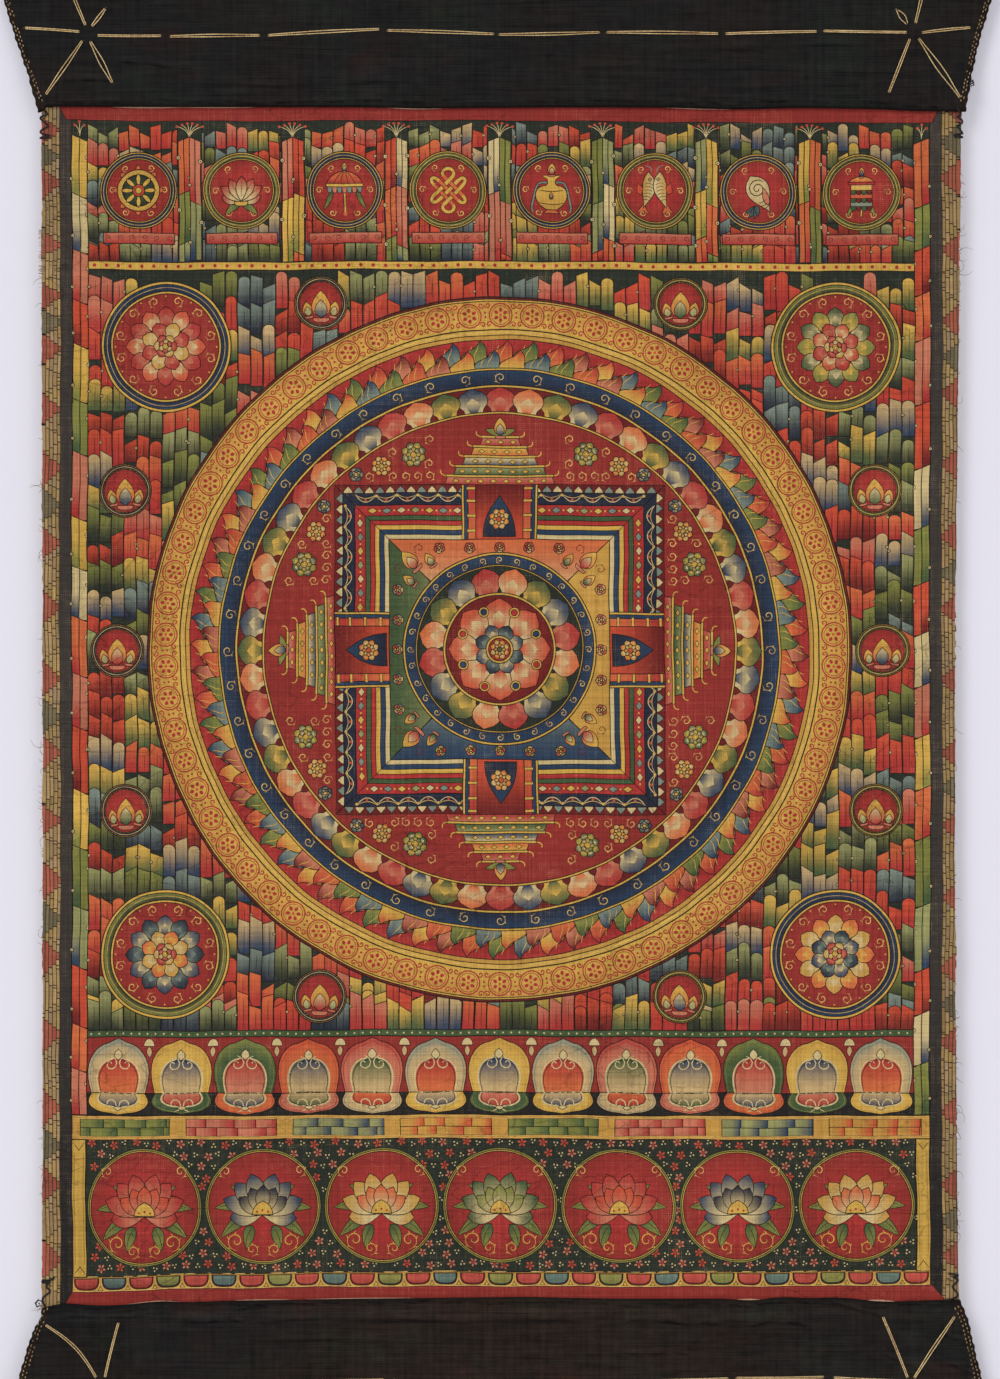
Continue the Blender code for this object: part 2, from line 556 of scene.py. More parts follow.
for side in (-1, 1):
    outer, inner = side * STRIP_INNER, side * BAND_INNER
    band = [(outer, PAINT_BOTTOM), (inner, PAINT_BOTTOM), (inner, PAINT_TOP), (outer, PAINT_TOP)]
    fill(band, fade(PAGE, "band", (0, DARKENS_FROM), "low band", (0, DARKENS_TO)), rim=None)
for level, rise, end, row in ((RED_BOTTOM, -MITRE, PAINT_BOTTOM, "low"),
        (PICTURE_TOP, MITRE, PAINT_TOP, "top")):
    left = [-BAND_INNER - out for out in MITRES[row + " left"]]
    right = [BAND_INNER + out for out in MITRES[row + " right"]]
    fill([(left[1], end), (left[1], level + rise), (left[0], level), (right[0], level),
        (right[1], level + rise), (right[1], end)], "red band", width=0.24)
print("red bands", round(-PICTURE_TOP + RED_TOP, 1), "and",
      round(RED_BOTTOM - PAINT_BOTTOM, 1), "mm tall")

# %% [markdown]
# Below the picture lies a jewel strip: round-bottomed stones set side by side in a gold
# mount, red and blue and red and green, each with a deep rim. The gold shows as an
# ochre ground with two thin gold outlines round each stone.

# %% The jewel strip
JEWEL_TOP = -538.8
JEWEL_PITCH = 11.08
COLOUR["red stone"] = linear((176, 74, 60))
COLOUR["blue stone"] = linear((94, 112, 98))
COLOUR["green stone"] = linear((130, 126, 64))
STONES = (("deep red", "red stone"), ("indigo", "blue stone"), ("deep red", "red stone"),
    ("dark green", "green stone"))


def stone_outline(width, height, square=3.2, count=15):
    """Flat on top and round below, fuller than a half circle."""
    turn = np.linspace(math.pi, 2 * math.pi, count)
    x, z = np.cos(turn), np.sin(turn)
    return np.stack([width / 2 * np.sign(x) * np.abs(x) ** (2 / square),
        height * np.sign(z) * np.abs(z) ** (2 / square)], 1)


def stone(spot, width, height, rim, heart):
    fill(spot(stone_outline(width, height)), rim)
    shaded(spot, stone_outline(width - 1.1, height - 0.65), heart, -0.3 * height, rim, -1.9 * height,
        rim=None)
    line(spot(stone_outline(width + 0.9, height + 0.5)), 0.3, "gold")


fill(slab(BAND_INNER, RED_BOTTOM, JEWEL_TOP), "ochre")
stones = round(2 * BAND_INNER / JEWEL_PITCH)
pitch, middles = evenly(stones, BAND_INNER)
for number, middle in enumerate(middles):
    stone(Spot(middle, JEWEL_TOP - 0.6), pitch - 1.4, 4.5, *STONES[number % 4])
    corner = middle + pitch / 2
    if number < stones - 1:
        fill([(corner - 0.9, RED_BOTTOM + 0.5), (corner + 0.9, RED_BOTTOM + 0.5),
            (corner, RED_BOTTOM + 2.2)], "yellow", width=0.22)
for z in (JEWEL_TOP + 0.1, RED_BOTTOM + 0.2):
    line([(-BAND_INNER, z), (BAND_INNER, z)], 0.45, "gold")
print(stones, "stones,", round(pitch, 2), "mm apart")

# %% [markdown]
# Above that lies the long lower panel in its ochre frame, and over it the plank band:
# ochre posts with two rows of short planks between them, each shaded to one end. The
# planks' lengths come by chance, as a hand paints them.

# %% The plank band and the ochre frame
PLANK_TOP, PLANK_BOTTOM = -476.0, -485.6
FRAME_WIDTH = 5.4
POST_WIDTH = 6.6
PLANKS = (("leaf", "green"), ("pink", "crimson"), ("sage", "blue"), ("ochre", "vermilion"))


def plank_row(left, right, low, high, pair, offset):
    """Planks of uneven length, each shaded from a light end to a deep one."""
    light, deep = pair
    x = left - offset
    while x < right:
        end = x + chance.uniform(7.5, 11.5)
        if end > left + 1:
            start, stop = max(x, left), min(end, right)
            spot = Spot(start, low)
            fill(box(start, low, stop, high), fade(spot, varied(light), (0.3 * (stop - start), 0),
                varied(deep), (stop - start, 0)), width=0.26)
        x = end


fill(slab(BAND_INNER, PLANK_BOTTOM, PLANK_TOP), "ochre")
posts = np.linspace(-BAND_INNER, BAND_INNER, 9)
for number, (left, right) in enumerate(zip(posts, posts[1:])):
    inner = (left + POST_WIDTH / 2, right - POST_WIDTH / 2)
    pair = PLANKS[number % 4]
    plank_row(*inner, PLANK_BOTTOM + 1.4, PLANK_BOTTOM + 4.8, pair, 4.0)
    plank_row(*inner, PLANK_BOTTOM + 4.8, PLANK_TOP - 1.4, pair, 0.0)
    for x in inner:
        line([(x, PLANK_BOTTOM + 1.0), (x, PLANK_TOP - 1.0)], 0.3)
for z in (PLANK_TOP - 0.5, PLANK_TOP - 1.3, PLANK_BOTTOM + 0.5, PLANK_BOTTOM + 1.3):
    line([(-BAND_INNER, z), (BAND_INNER, z)], 0.3, "gold")

for side in (-1, 1):
    edges = sorted((side * BAND_INNER, side * (BAND_INNER - FRAME_WIDTH)))
    fill(box(edges[0], JEWEL_TOP, edges[1], PLANK_BOTTOM), COLOUR["yellow"] * 0.86, width=0.4)
    middle = sum(edges) / 2
    for x in (middle - 1.8, middle + 1.8):
        line([(x, JEWEL_TOP + 5), (x, PLANK_BOTTOM - 5)], 0.2, "ochre shade")
    for z, up in ((JEWEL_TOP, 1), (PLANK_BOTTOM, -1)):
        line([(middle - 2.2, z + 1.2 * up), (middle, z + 4.2 * up), (middle + 2.2, z + 1.2 * up)], 0.24)
print(len(posts) - 2, "whole posts")

# %% [markdown]
# The columns beside the picture stand for jewelled rock. A block is a pair of staves
# with a slanting top. The outer one keeps its light colour and the inner one sinks
# into a deep colour at its foot, and small cream rings sit on the edges like pebbles.

# %% Rock columns
COLUMN_WIDTH = 6.2
ROCKS = (("bone", "blue"), ("orange", "crimson"), ("leaf", "green"), ("pink", "crimson"),
    ("sage", "blue"), ("vermilion", "deep red"), ("yellow", "leaf"))


def pebble(spot, radius=0.85):
    disc(spot, radius, "bone", width=0.26)
    dot(spot, radius * 0.35, "ink")


def rock_block(spot, width, height, pair, lean=1):
    """A pair of staves, standing on the spot, with the higher side where lean says."""
    light, deep = pair
    half = width / 2
    rise = 0.42 * width
    low_side, high_side = height - rise, height
    block = spot.spot(0, 0, flip=lean)
    pale = varied(light)
    shaded(block, [(-half, 0), (0, 0), (0, height - rise / 2), (-half, low_side)], pale * 0.8, 0, pale,
        0.5 * height)
    shaded(block, [(0, 0), (half, 0), (half, high_side), (0, height - rise / 2)], COLOUR[deep],
        0.08 * height, pale, 0.62 * height)
    if height > 9:
        pebble(block.spot(-half, 0.64 * height))
    if height > 14:
        pebble(block.spot(half, 0.3 * height), 0.7)


def rock_column(middle, low, high, lean, width=COLUMN_WIDTH, start=0):
    """Blocks stacked down a column, each standing in front of the one above."""
    top, number = high, start
    while top > low + 3:
        height = chance.uniform(17, 27)
        foot = max(top - height, low)
        rock_block(Spot(middle, foot - 2 if foot > low else low), width,
            top - foot + (2 if foot > low else 0), ROCKS[number % len(ROCKS)], lean)
        top = foot
        number += chance.choice((1, 2, 3))


def sprig(spot, height, spread=0.5, stems=5, bud="vermilion"):
    """Thin pale stems fanning from one foot, with a red bud at each tip."""
    for share in np.linspace(-spread, spread, stems):
        tip = (share * height, height * (1 - 0.25 * abs(share) / max(spread, 0.01)))
        line(spot(bezier((0, 0), (share * 0.1 * height, 0.6 * height), tip, count=6)), 0.24, "bone")
        dot(spot.spot(*tip), 0.55, bud)


COLUMN_MIDDLE = BAND_INNER - COLUMN_WIDTH / 2
for side in (-1, 1):
    edges = sorted((side * BAND_INNER, side * (BAND_INNER - COLUMN_WIDTH)))
    fill(box(edges[0], PLANK_TOP, edges[1], PICTURE_TOP), "dark green")
    sprig(Spot(side * COLUMN_MIDDLE, PICTURE_TOP - 6.6), 6.0, 0.3, 3)
    rock_column(side * COLUMN_MIDDLE, PLANK_TOP + 0.2, PICTURE_TOP - 6.0, side, start=side)
print("columns done:", len(painter.fields), "fields")

# %% [markdown]
# The picture inside these borders is a design of its own, of motifs that any painter in
# this craft learns. The lotus comes first, because so much stands on it. Seen from the
# side its petal is a horseshoe with a small tip, a shaded heart and two curls.


# %% Lotus petals
def horseshoe(width, height, foot=0.84, tip=0.08, count=21):
    turn = np.linspace(0, math.pi, count)
    x, z = np.cos(turn), np.sin(turn)
    x = np.sign(x) * np.abs(x) ** 0.62
    z = z ** 0.72
    x = x * (foot + (1 - foot) * np.sin(math.pi * np.minimum(z, 0.9) / 1.25))
    z = z + tip * np.exp(-(x / 0.12) ** 2)
    return np.stack([x * width / 2, z * height / (1 + tip)], 1)


def lotus_petal(spot, width, height, body, edge, heart, foot):
    """A petal on its foot. The body shades to the edge, the heart to its own foot."""
    fill(spot(horseshoe(width, height)), glow(spot.spot(0, 0.25 * height), body, edge, 0.66 * width,
        0.4 * width))
    line(spot(horseshoe(width * 0.92, height * 0.93)), 0.24, edge)
    inner = spot.spot(0, 0, 0.66)
    shaded(inner, horseshoe(width * 1.04, height * 1.02), heart, 0.94 * height, foot, 0.2 * height,
        "bone", width=0.6)
    line(inner(horseshoe(width * 0.94, height * 0.95)), 0.24)
    crest = spot.spot(0, 0.6 * height)
    hook = curl(0.12 * width, 1.2, 90, 12, (0.12 * width, -0.07 * height))
    for side in (-1, 1):
        line(crest(hook * (side, 1)), 0.44, "bone")
    fill(crest(petal(0.2 * height, 0.13 * width, count=4)), "bone", width=0.24)


PETAL_COLOURS = [("cream", "pale blue", "crimson", "orange"), ("yellow", "ochre", "blue", "cream"),
    ("green", "leaf", "crimson", "pink"), ("orange", "vermilion", "blue", "cream"),
    ("pink", "crimson", "green", "cream")]


def petal_row(count, reach, foot, height, shift=0, size=1.0, turn=0):
    """A row of petals, whose colours mirror about its middle."""
    pitch, middles = evenly(count, reach)
    for number, x in enumerate(middles):
        kind = PETAL_COLOURS[(min(number, count - 1 - number) + shift) % 5]
        lotus_petal(Spot(x, foot, turn=turn), pitch * size, height, *kind)


def lotus_row(count, reach, low, high):
    """A row of petals with small fans between, on a crimson ground."""
    fill(slab(reach, low, high), "red band")
    for number in range(1, count):
        fan = Spot(-reach + 2 * reach / count * number, high - 3.6)
        fill(fan(arch(4.4, 3.0, 0.0, 6)), "bone", width=0.24)
        fill(fan(petal(-4.5, 2.2, count=4)), "cream", width=0.22)
    petal_row(count, reach, low, high - low - 0.6, size=1.02)


print(len(PETAL_COLOURS), "kinds of petal")

# %% [markdown]
# Seen from above, a lotus is a wheel of petals. Each petal stands on a ring and fades
# from its tip to its foot, with a smaller petal of another colour laid inside it.


# %% Wheels of petals
def petal_wheel(spot, count, inner, outer, tints, start=0.0, heart=True):
    length = outer - inner
    real = length * spot.scale
    steps = 6 if real > 5 else 4 if real > 2.2 else 3
    heart = heart and real > 2.6
    width = 2 * math.pi * (inner + 0.5 * length) / count * 1.12
    for number, place in enumerate(spot.around(count, inner, start)):
        tip, foot = tints[number % len(tints)]
        shaded(place, petal(length, width, 0.5, 0.62, steps, base=0.55), foot, 0, tip, 0.9 * length,
            width=0.28)
        if heart:
            shaded(place, petal(0.62 * length, 0.46 * width, 0.5, 0.8, 4, base=0.4), tip, 0, foot,
                0.6 * length, rim=None)


def beads(spot, radius, count, size, colour="yellow"):
    for place in spot.around(count, radius):
        dot(place, size, colour)


def rosette(spot, radius, tints, petals=8, eye="yellow"):
    """A flower from above, with two wheels of petals and an eye."""
    petal_wheel(spot, petals, 0.36 * radius, radius, tints, start=180 / petals)
    petal_wheel(spot, petals, 0.2 * radius, 0.62 * radius, tints[::-1], heart=False)
    disc(spot, 0.26 * radius, eye, width=0.26)
    if radius * spot.scale > 4:
        beads(spot, 0.14 * radius, 5, 0.05 * radius, "ochre shade")


REDS = [("crimson", "pink"), ("vermilion", "bone")]
BLUES = [("blue", "bone"), ("indigo", "pale blue")]
GREENS = [("green", "bone"), ("leaf", "yellow")]
GOLDS = [("ochre", "bone"), ("orange", "yellow")]
WARM = [("crimson", "pink"), ("ochre", "bone")]
MANY = [("crimson", "pink"), ("blue", "bone"), ("green", "yellow"), ("orange", "bone")]
print("petal wheels in six sets of colours")

# %% [markdown]
# Scrolls fill what is left of any field in such a painting. A scroll is a stem that
# winds into a spiral, with a few short leaves on its outer side. In gold it makes the
# fine pattern on dark and red grounds.


# %% Scrolls and sprays
def scroll(spot, radius, colour="gold", width=0.4, turns=1.35, leaves=3):
    path = curl(radius, turns, -90, 16)
    line(spot(path), width, colour, taper=True)
    for number in range(leaves):
        at = path[1 + 2 * number]
        way = path[2 + 2 * number] - at
        out = np.array([way[1], -way[0]])
        tip = at + out / np.linalg.norm(out) * radius * 0.34 + way * 0.6
        line(spot(bezier(at, (at + tip) / 2 + way * 0.3, tip, count=4)), width * 0.9, colour, taper=True)


def flower_sprig(spot, size=1.0, flower="pink"):
    """Five strokes and a dot, as flowers are strewn over a dark ground."""
    for place in spot.around(5, 0.45 * size, chance.uniform(0, 70)):
        fill(place(petal(1.25 * size, 0.8 * size, count=3)), flower, rim=None)
    dot(spot, 0.4 * size, "crimson")


def strewn(left, low, right, high, step, keep_out, flowers=("pink", "vermilion")):
    """Sprigs and triple dots on a loose grid, but not where keep_out says."""
    row = 0
    for z in np.arange(low + step / 2, high, step):
        row += 1
        for x in np.arange(left + step / 2 + (row % 2) * step / 2, right, step):
            place = (x + chance.uniform(-0.8, 0.8), z + chance.uniform(-0.8, 0.8))
            if keep_out(*place):
                continue
            if (row + int(x / step)) % 2:
                flower_sprig(Spot(*place), 1.1, chance.choice(flowers))
            else:
                beads(Spot(*place, turn=chance.uniform(0, 90)), 0.75, 3, 0.34, "bone")


def jewel(spot, height, tint="blue", flame="vermilion"):
    """An upright jewel with a small flame over it, on a petal foot."""
    shaded(spot, petal(height, 0.7 * height, 0.4, 0.8, 6), flame, 0, "yellow", height, width=0.26)
    shaded(spot, petal(0.66 * height, 0.46 * height, 0.42, 0.8, 5), tint, 0, "bone", 0.75 * height,
        width=0.24)
    fill(spot(stone_outline(0.6 * height, 0.16 * height)), "pink", width=0.24)


print("scrolls, sprigs and jewels ready")

# %% [markdown]
# Eight lucky signs have been painted in this craft for a thousand years. Each is drawn
# here in about twenty millimetres from a few outlines, in a hand of its own.


# %% Wheel, lotus and vase
def wheel_sign(spot):
    for place in spot.around(8, 8.6):
        fill(place(petal(2.6, 2.4, 0.4, 0.8, 4)), "orange", width=0.26)
    disc(spot, 9.2, glow(spot, "yellow", "ochre", 9.2, 6.5))
    disc(spot, 7.0, glow(spot, "green", "dark green", 7.0, 2.0))
    for place in spot.around(8, 1.5):
        fill(place(petal(6.0, 2.0, 0.6, 0.6, 5, base=0.5)), "yellow", width=0.28)
    disc(spot, 2.7, "vermilion")
    disc(spot, 1.5, "yellow", width=0.26)
    line(spot(circle(8.1, 1.0)), 0.24, "gold", closed=True)


def lotus_sign(spot):
    tip, foot = "crimson", "bone"
    seat = spot.spot(0, -4.5)
    for side in (-1, 1):
        leaf_spot = seat.spot(0, -0.6, turn=-side * 112)
        shaded(leaf_spot, leaf(8.6, 3.4, side * 0.25), "green", 0, "leaf", 8)
    for angle in (-78, 78, -54, 54, -28, 28, 0):
        place = seat.spot(0, 0, turn=angle)
        length = 11.2 if abs(angle) < 60 else 9.0
        shaded(place, petal(length, 5.0, 0.55, 0.75, 7), foot, 2.0, tip, length)
        line(place([(0, 2), (0, length - 2.5)]), 0.2, taper=True)
    fill(seat(stone_outline(6.0, 2.0)), "yellow", width=0.26)


def vase_sign(spot):
    body = spot.spot(0, -8.5)
    right = bezier((2.0, 0), (8.6, 3.0), (8.4, 10.4), (2.4, 10.6), count=12)
    neck = np.array([(1.7, 11.6), (1.9, 13.2), (4.4, 15.0)])
    side = np.concatenate([right, neck])
    shaded(body, np.concatenate([side, side[::-1] * (-1, 1)]), "ochre", 0, "yellow", 12)
    for z, wide in ((8.6, 5.2), (3.0, 5.6)):
        line(body(bezier((-wide, z), (0, z - 1.2), (wide, z), count=8)), 0.3)
    jewel(body.spot(0, 5.0, 0.52), 5.0)
    fill(body(np.array([(-3.4, -1.6), (3.4, -1.6), (2.0, 0), (-2.0, 0)])), "orange")
    jewel(body.spot(0, 15.2), 5.2, "crimson", "orange")
    for side in (-1, 1):
        ribbon_path = bezier((side * 2.0, 11.8), (side * 9.5, 13.5), (side * 5.0, 5.0),
            (side * 10.0, 2.0), (side * 8.0, -1.0), count=16)
        stroke(body(ribbon_path), 0.9, "pale blue")


# %% Conch, knot and parasol
def conch_sign(spot):
    tilt = spot.spot(0.6, -0.6, turn=28)
    fill(tilt(petal(18, 10.5, 0.62, 0.75, 10) - (0, 9)), glow(tilt.spot(-1, 2), "bone", "cream", 8, 2))
    line(tilt(curl(4.3, 1.9, 20, 22, (0, 2.4))), 0.34)
    mouth = tilt.spot(1.9, -1.4, turn=-12)
    fill(mouth(petal(8.4, 2.8, 0.4, 0.8, 6) - (0, 5.2)), "pink", width=0.28)
    for z in (-6.4, -5.0, -3.4):
        line(tilt(bezier((-2.2 - z * -0.1, z), (-0.4, z - 0.9), (1.0, z), count=5)), 0.22)
    for turn, length in ((150, 8), (172, 9), (196, 8), (216, 6.5)):
        place = spot.spot(-1.4, -6.0, turn=turn)
        fill(place(leaf(length * 0.7, 2.2, 0.4)), "teal", width=0.24)


def knot_sign(spot):
    """A band that winds without an end: three ways across, three up, and round turns."""
    cell = 2.9
    net = spot.spot(0, 0, cell, turn=45)
    turns = [((-1, 2), (-1, 3.3), (0, 3.3), (0, 2)), ((1, 2), (1, 3), (3, 3), (3, 1), (2, 1)),
        ((2, 0), (3.3, 0), (3.3, -1), (2, -1)), ((1, -2), (1, -3.3), (0, -3.3), (0, -2)),
        ((-1, -2), (-1, -3), (-3, -3), (-3, -1), (-2, -1)), ((-2, 0), (-3.3, 0), (-3.3, 1), (-2, 1))]
    for knots in turns:
        stroke(net(bezier(*knots, count=9)), 1.5, "yellow")
    for offset in (-1, 0, 1):
        stroke(net([(-2.05, offset), (2.05, offset)]), 1.5, "yellow")
    for offset in (-1, 0, 1):
        stroke(net([(offset, -2.05), (offset, 2.05)]), 1.5, "orange")
    for x in (-1, 0, 1):
        for z in (-1, 0, 1):
            if (x + z) % 2 == 0:
                stroke(net([(x - 0.42, z), (x + 0.42, z)]), 1.5, "yellow")


def parasol_sign(spot):
    fill(spot(slab(0.5, -10, 4)), "yellow", width=0.26)
    for side in (-1, 1):
        streamer = spot.spot(side * 5.6, 0.4, turn=180 + side * 10)
        shaded(streamer, leaf(9.5, 2.2, -side * 0.25), "green", 0, "leaf", 9, width=0.28)
    for number in range(7):
        pendant = spot.spot(-6.6 + 2.2 * number, 2.4)
        fill(pendant(stone_outline(2.2, 3.4)), ("pale blue", "pink")[number % 2], width=0.26)
    dome = spot.spot(0, 2.4)
    shaded(dome, arch(16.0, 6.4, 0.1), "crimson", 0, "orange", 6)
    for x in (-4.6, -1.6, 1.6, 4.6):
        line(dome(bezier((x, 0.2), (x * 0.9, 3.4), (x * 0.2, 5.9), count=7)), 0.24)
    fill(dome(slab(8.2, -0.7, 0.7)), "yellow", width=0.28)
    jewel(dome.spot(0, 6.2), 3.6)
    beads(spot.spot(0, -10.4), 0.0, 1, 0.9, "orange")


# %% Fishes and banner
def fish(spot):
    fill(spot([(-0.6, -6.8), (0.6, -6.8), (2.8, -10.4), (0.2, -9.4), (-2.6, -10.6)]), "orange",
        width=0.28)
    body = petal(16.5, 5.8, 0.6, 0.8, 9)
    body[:, 0] += 1.3 * np.sin(body[:, 1] / 16.5 * math.pi)
    body[:, 1] -= 8.0
    fill(spot(body), fade(spot, "bone", (3.6, 0), "ochre", (-2.0, 0)))
    for z in np.arange(-4.6, 3.8, 1.5):
        bow = 1.3 * math.sin((z + 8) / 16.5 * math.pi)
        line(spot(bezier((bow - 1.8, z), (bow, z + 1.1), (bow + 1.8, z), count=5)), 0.2)
    fill(spot([(-1.2, 1.0), (-4.0, 2.8), (-3.6, -1.8), (-1.4, -2.4)]), "vermilion", width=0.24)
    disc(spot.spot(1.2, 5.2), 0.72, "bone", width=0.24)
    dot(spot.spot(1.2, 5.2), 0.3, "ink")


def fishes_sign(spot):
    fish(spot.spot(-3.9, 0.4, 1.0, turn=-10))
    fish(spot.spot(3.9, 0.4, 1.0, turn=10, flip=-1))
    for side in (-1, 1):
        line(spot(bezier((side * 1.4, 8.0), (side * 0.4, 11.0), (side * 4.4, 11.4), count=7)), 0.4,
            "pale blue", taper=True)


def banner_sign(spot):
    fill(spot(slab(0.45, -10.6, -6)), "yellow", width=0.26)
    for side in (-1, 1):
        streamer = spot.spot(side * 4.2, -5.6, turn=180 + side * 8)
        fill(streamer(leaf(5.4, 1.8, -side * 0.3)), "leaf", width=0.26)
    tiers = (("pale blue", -6.6), ("vermilion", -3.0), ("yellow", 0.6))
    for name, low in tiers:
        tier = spot.spot(0, low)
        shaded(tier, slab(4.6, 0, 3.6), name, 0, "bone", 5.5)
        for number in range(4):
            flap = tier.spot(-3.45 + 2.3 * number, 0.6)
            fill(flap(stone_outline(2.3, 1.9)), "deep red" if number % 2 else "green", width=0.24)
    top = spot.spot(0, 4.2)
    shaded(top, arch(11.4, 3.4, 0.15), "orange", 0, "yellow", 3)
    fill(top(slab(5.9, -0.6, 0.6)), "crimson", width=0.26)
    jewel(top.spot(0, 3.0), 4.2)


SIGNS = [wheel_sign, lotus_sign, parasol_sign, knot_sign, vase_sign, fishes_sign, conch_sign, banner_sign]
print(len(SIGNS), "lucky signs")

# %% [markdown]
# Each sign stands in a round window: an indigo ring shaded to its outer edge, thin
# gold and ochre rings, and a red field with a little gold scroll round the sign.


# %% Round windows
RINGS = [("blue", "indigo"), ("leaf", "dark green")]


def window(spot, radius, kind):
    outer, inner = RINGS[kind % 2]
    disc(spot, radius, "yellow", width=0.4)
    disc(spot, 0.955 * radius, glow(spot, inner, outer, 0.955 * radius, 0.86 * radius))
    line(spot(circle(0.905 * radius, 1.4)), 0.24, "gold", closed=True)
    disc(spot, 0.845 * radius, "yellow", width=0.3)
    disc(spot, 0.81 * radius, glow(spot, "crimson", "red band", 0.8 * radius, 0.3 * radius), width=0.3)
    return spot.spot(0, 0, radius / 15.6)


def window_scrolls(spot, count, reach, radius):
    for number, place in enumerate(spot.around(count, reach, 180 / count)):
        scroll(by_turns(place, number), radius, leaves=2)


print(len(RINGS), "kinds of window")

# %% [markdown]
# Between the windows lies rock, painted as crystals: upright staves in clusters, each
# lit on one side, standing in front of the row above. Their tops break off at a slant
# or in round knobs. Rows drawn from the top down cover each other as painted ones do.


# %% A ground of rock crystals
ROCK_TINTS = [("pink", "crimson"), ("vermilion", "deep red"), ("yellow", "green"), ("sage", "dark green"),
    ("cream", "blue"), ("orange", "crimson"), ("vermilion", "crimson"), ("leaf", "dark green"),
    ("pale blue", "indigo")]


def crystal(spot, width, height, pair, lean):
    light, deep = pair
    half = width / 2
    slant = chance.uniform(0.25, 0.6) * width
    if chance.random() < 0.3:
        top = arch(width, 0.8 * half, 0.0, 4) + (0, height - 0.8 * half)
        body = np.concatenate([[(-half, 0), (half, 0)], top])
    else:
        ends = (height, height - slant) if lean > 0 else (height - slant, height)
        body = np.array([(-half, 0), (half, 0), (half, ends[0]), (-half, ends[1])])
    pale = varied(light, 0.1)
    fill(spot(body), fade(spot, pale, (lean * half * 0.1, height), COLOUR[deep],
        (-lean * half * 1.2, 0.12 * height)), width=0.3)
    if height > 7 and chance.random() < 0.75:
        line(spot([(0.1 * half, 0.3), (0.1 * half, height - slant - 1)]), 0.2, taper=True)
    if chance.random() < 0.22:
        pebble(spot.spot(lean * half * 0.9, 0.6 * height), 0.62)


def rock_ground(left, low, right, high, keep_out, width=4.6, height=9.5):
    """Rows of crystals from the top down, but not where keep_out says."""
    fill(box(left, low, right, high), "dark green", rim=None)
    top, made, row = high - 0.5, 0, 0
    columns = max(1, round((right - left) / width))
    pitch = (right - left) / columns
    while top > low:
        tint = chance.randrange(9)
        for number in range(columns):
            if number % 3 == 0:
                tint = (tint + chance.choice((1, 2, 4))) % 9
            x = left + pitch * (number + 0.5)
            reach = height * chance.uniform(0.75, 1.35)
            foot = max(top - height * 1.25 + chance.uniform(-1, 1), low)
            if keep_out(x, foot + 0.4 * reach) or foot + 4 > high:
                continue
            if row == 0 and foot + reach > high:
                reach = high - foot - 0.4
            lean = 1 if (number // 2) % 2 else -1
            crystal(Spot(x, foot), pitch * chance.uniform(0.9, 1.02), reach, ROCK_TINTS[tint], lean)
            made += 1
        top -= height * 0.86
        row += 1
    return made


print(len(ROCK_TINTS), "rock tints")

# %% [markdown]
# Now the picture itself. A band across its top holds the eight signs in round windows,
# with pairs of rock columns between them and rock above and below.

# %% The band of signs
FIELD_X = BAND_INNER - COLUMN_WIDTH
SIGN_TOP, SIGN_BOTTOM = PICTURE_TOP, -134.8
SIGN_MIDDLE = -106.4
SIGN_RADIUS = 15.4
SIGN_COUNT = 8
PAIR_WIDTH = 4.4

sign_pitch, sign_x = evenly(SIGN_COUNT, FIELD_X)


def near_sign(x, z):
    return any(math.hypot(x - middle, z - SIGN_MIDDLE) < SIGN_RADIUS - 3 for middle in sign_x)


crystals = rock_ground(-FIELD_X, SIGN_BOTTOM, FIELD_X, SIGN_TOP, near_sign, 4.3, 8.5)
for number in range(1, SIGN_COUNT):
    x = -FIELD_X + sign_pitch * number
    fill(box(x - PAIR_WIDTH - 0.4, SIGN_BOTTOM, x + PAIR_WIDTH + 0.4, SIGN_TOP), "dark green")
    sprig(Spot(x, SIGN_TOP - 7.0), 6.4, 0.8, 6)
    for side in (-1, 1):
        rock_column(x + side * PAIR_WIDTH / 2, SIGN_BOTTOM + 0.2, SIGN_TOP - 6.4, -side, PAIR_WIDTH,
            number * 2 + side)
for number, (x, sign) in enumerate(zip(sign_x, SIGNS)):
    inner = window(Spot(x, SIGN_MIDDLE), SIGN_RADIUS, number)
    window_scrolls(inner, 6, 10.4, 1.5)
    sign(inner.spot(0, 0, 0.92))
    shelf = Spot(x, SIGN_MIDDLE - SIGN_RADIUS - 4.4)
    shaded(shelf, slab(14.4, -1.4, 3.0), "crimson", -1.4, "pink", 3.4)
    for step in range(6):
        scroll(by_turns(shelf.spot(-12.2 + 4.9 * step, 0.9), step), 1.3, "deep red", 0.22, leaves=1)
print(crystals, "crystals and", SIGN_COUNT, "signs")

# %% [markdown]
# The middle of the picture is a great wheel, the plan of a lotus palace that every
# school of this craft draws with a compass: flames, a dark ring, lotus petals, and a
# square hall with four gates round a lotus. Rock fills its corners.

# %% The ground of the great wheel
WHEEL_TOP, WHEEL_BOTTOM = -138.0, -442.0
WHEEL = Spot(0, -290)
WHEEL_RADIUS = 128.0
BROCADE_RADIUS = 141.0
CORNER_WINDOWS = [Spot(x, z) for x in (-134, 134) for z in (-168.5, -411.5)]
CORNER_RADIUS = 26.0
SMALL_WINDOWS = [Spot(x, z) for x, z in ((-150, -226), (150, -226), (-153, -290), (153, -290),
    (-150, -354), (150, -354), (-72, -151.5), (72, -151.5), (-72, -428.5), (72, -428.5))]
SMALL_RADIUS = 10.6


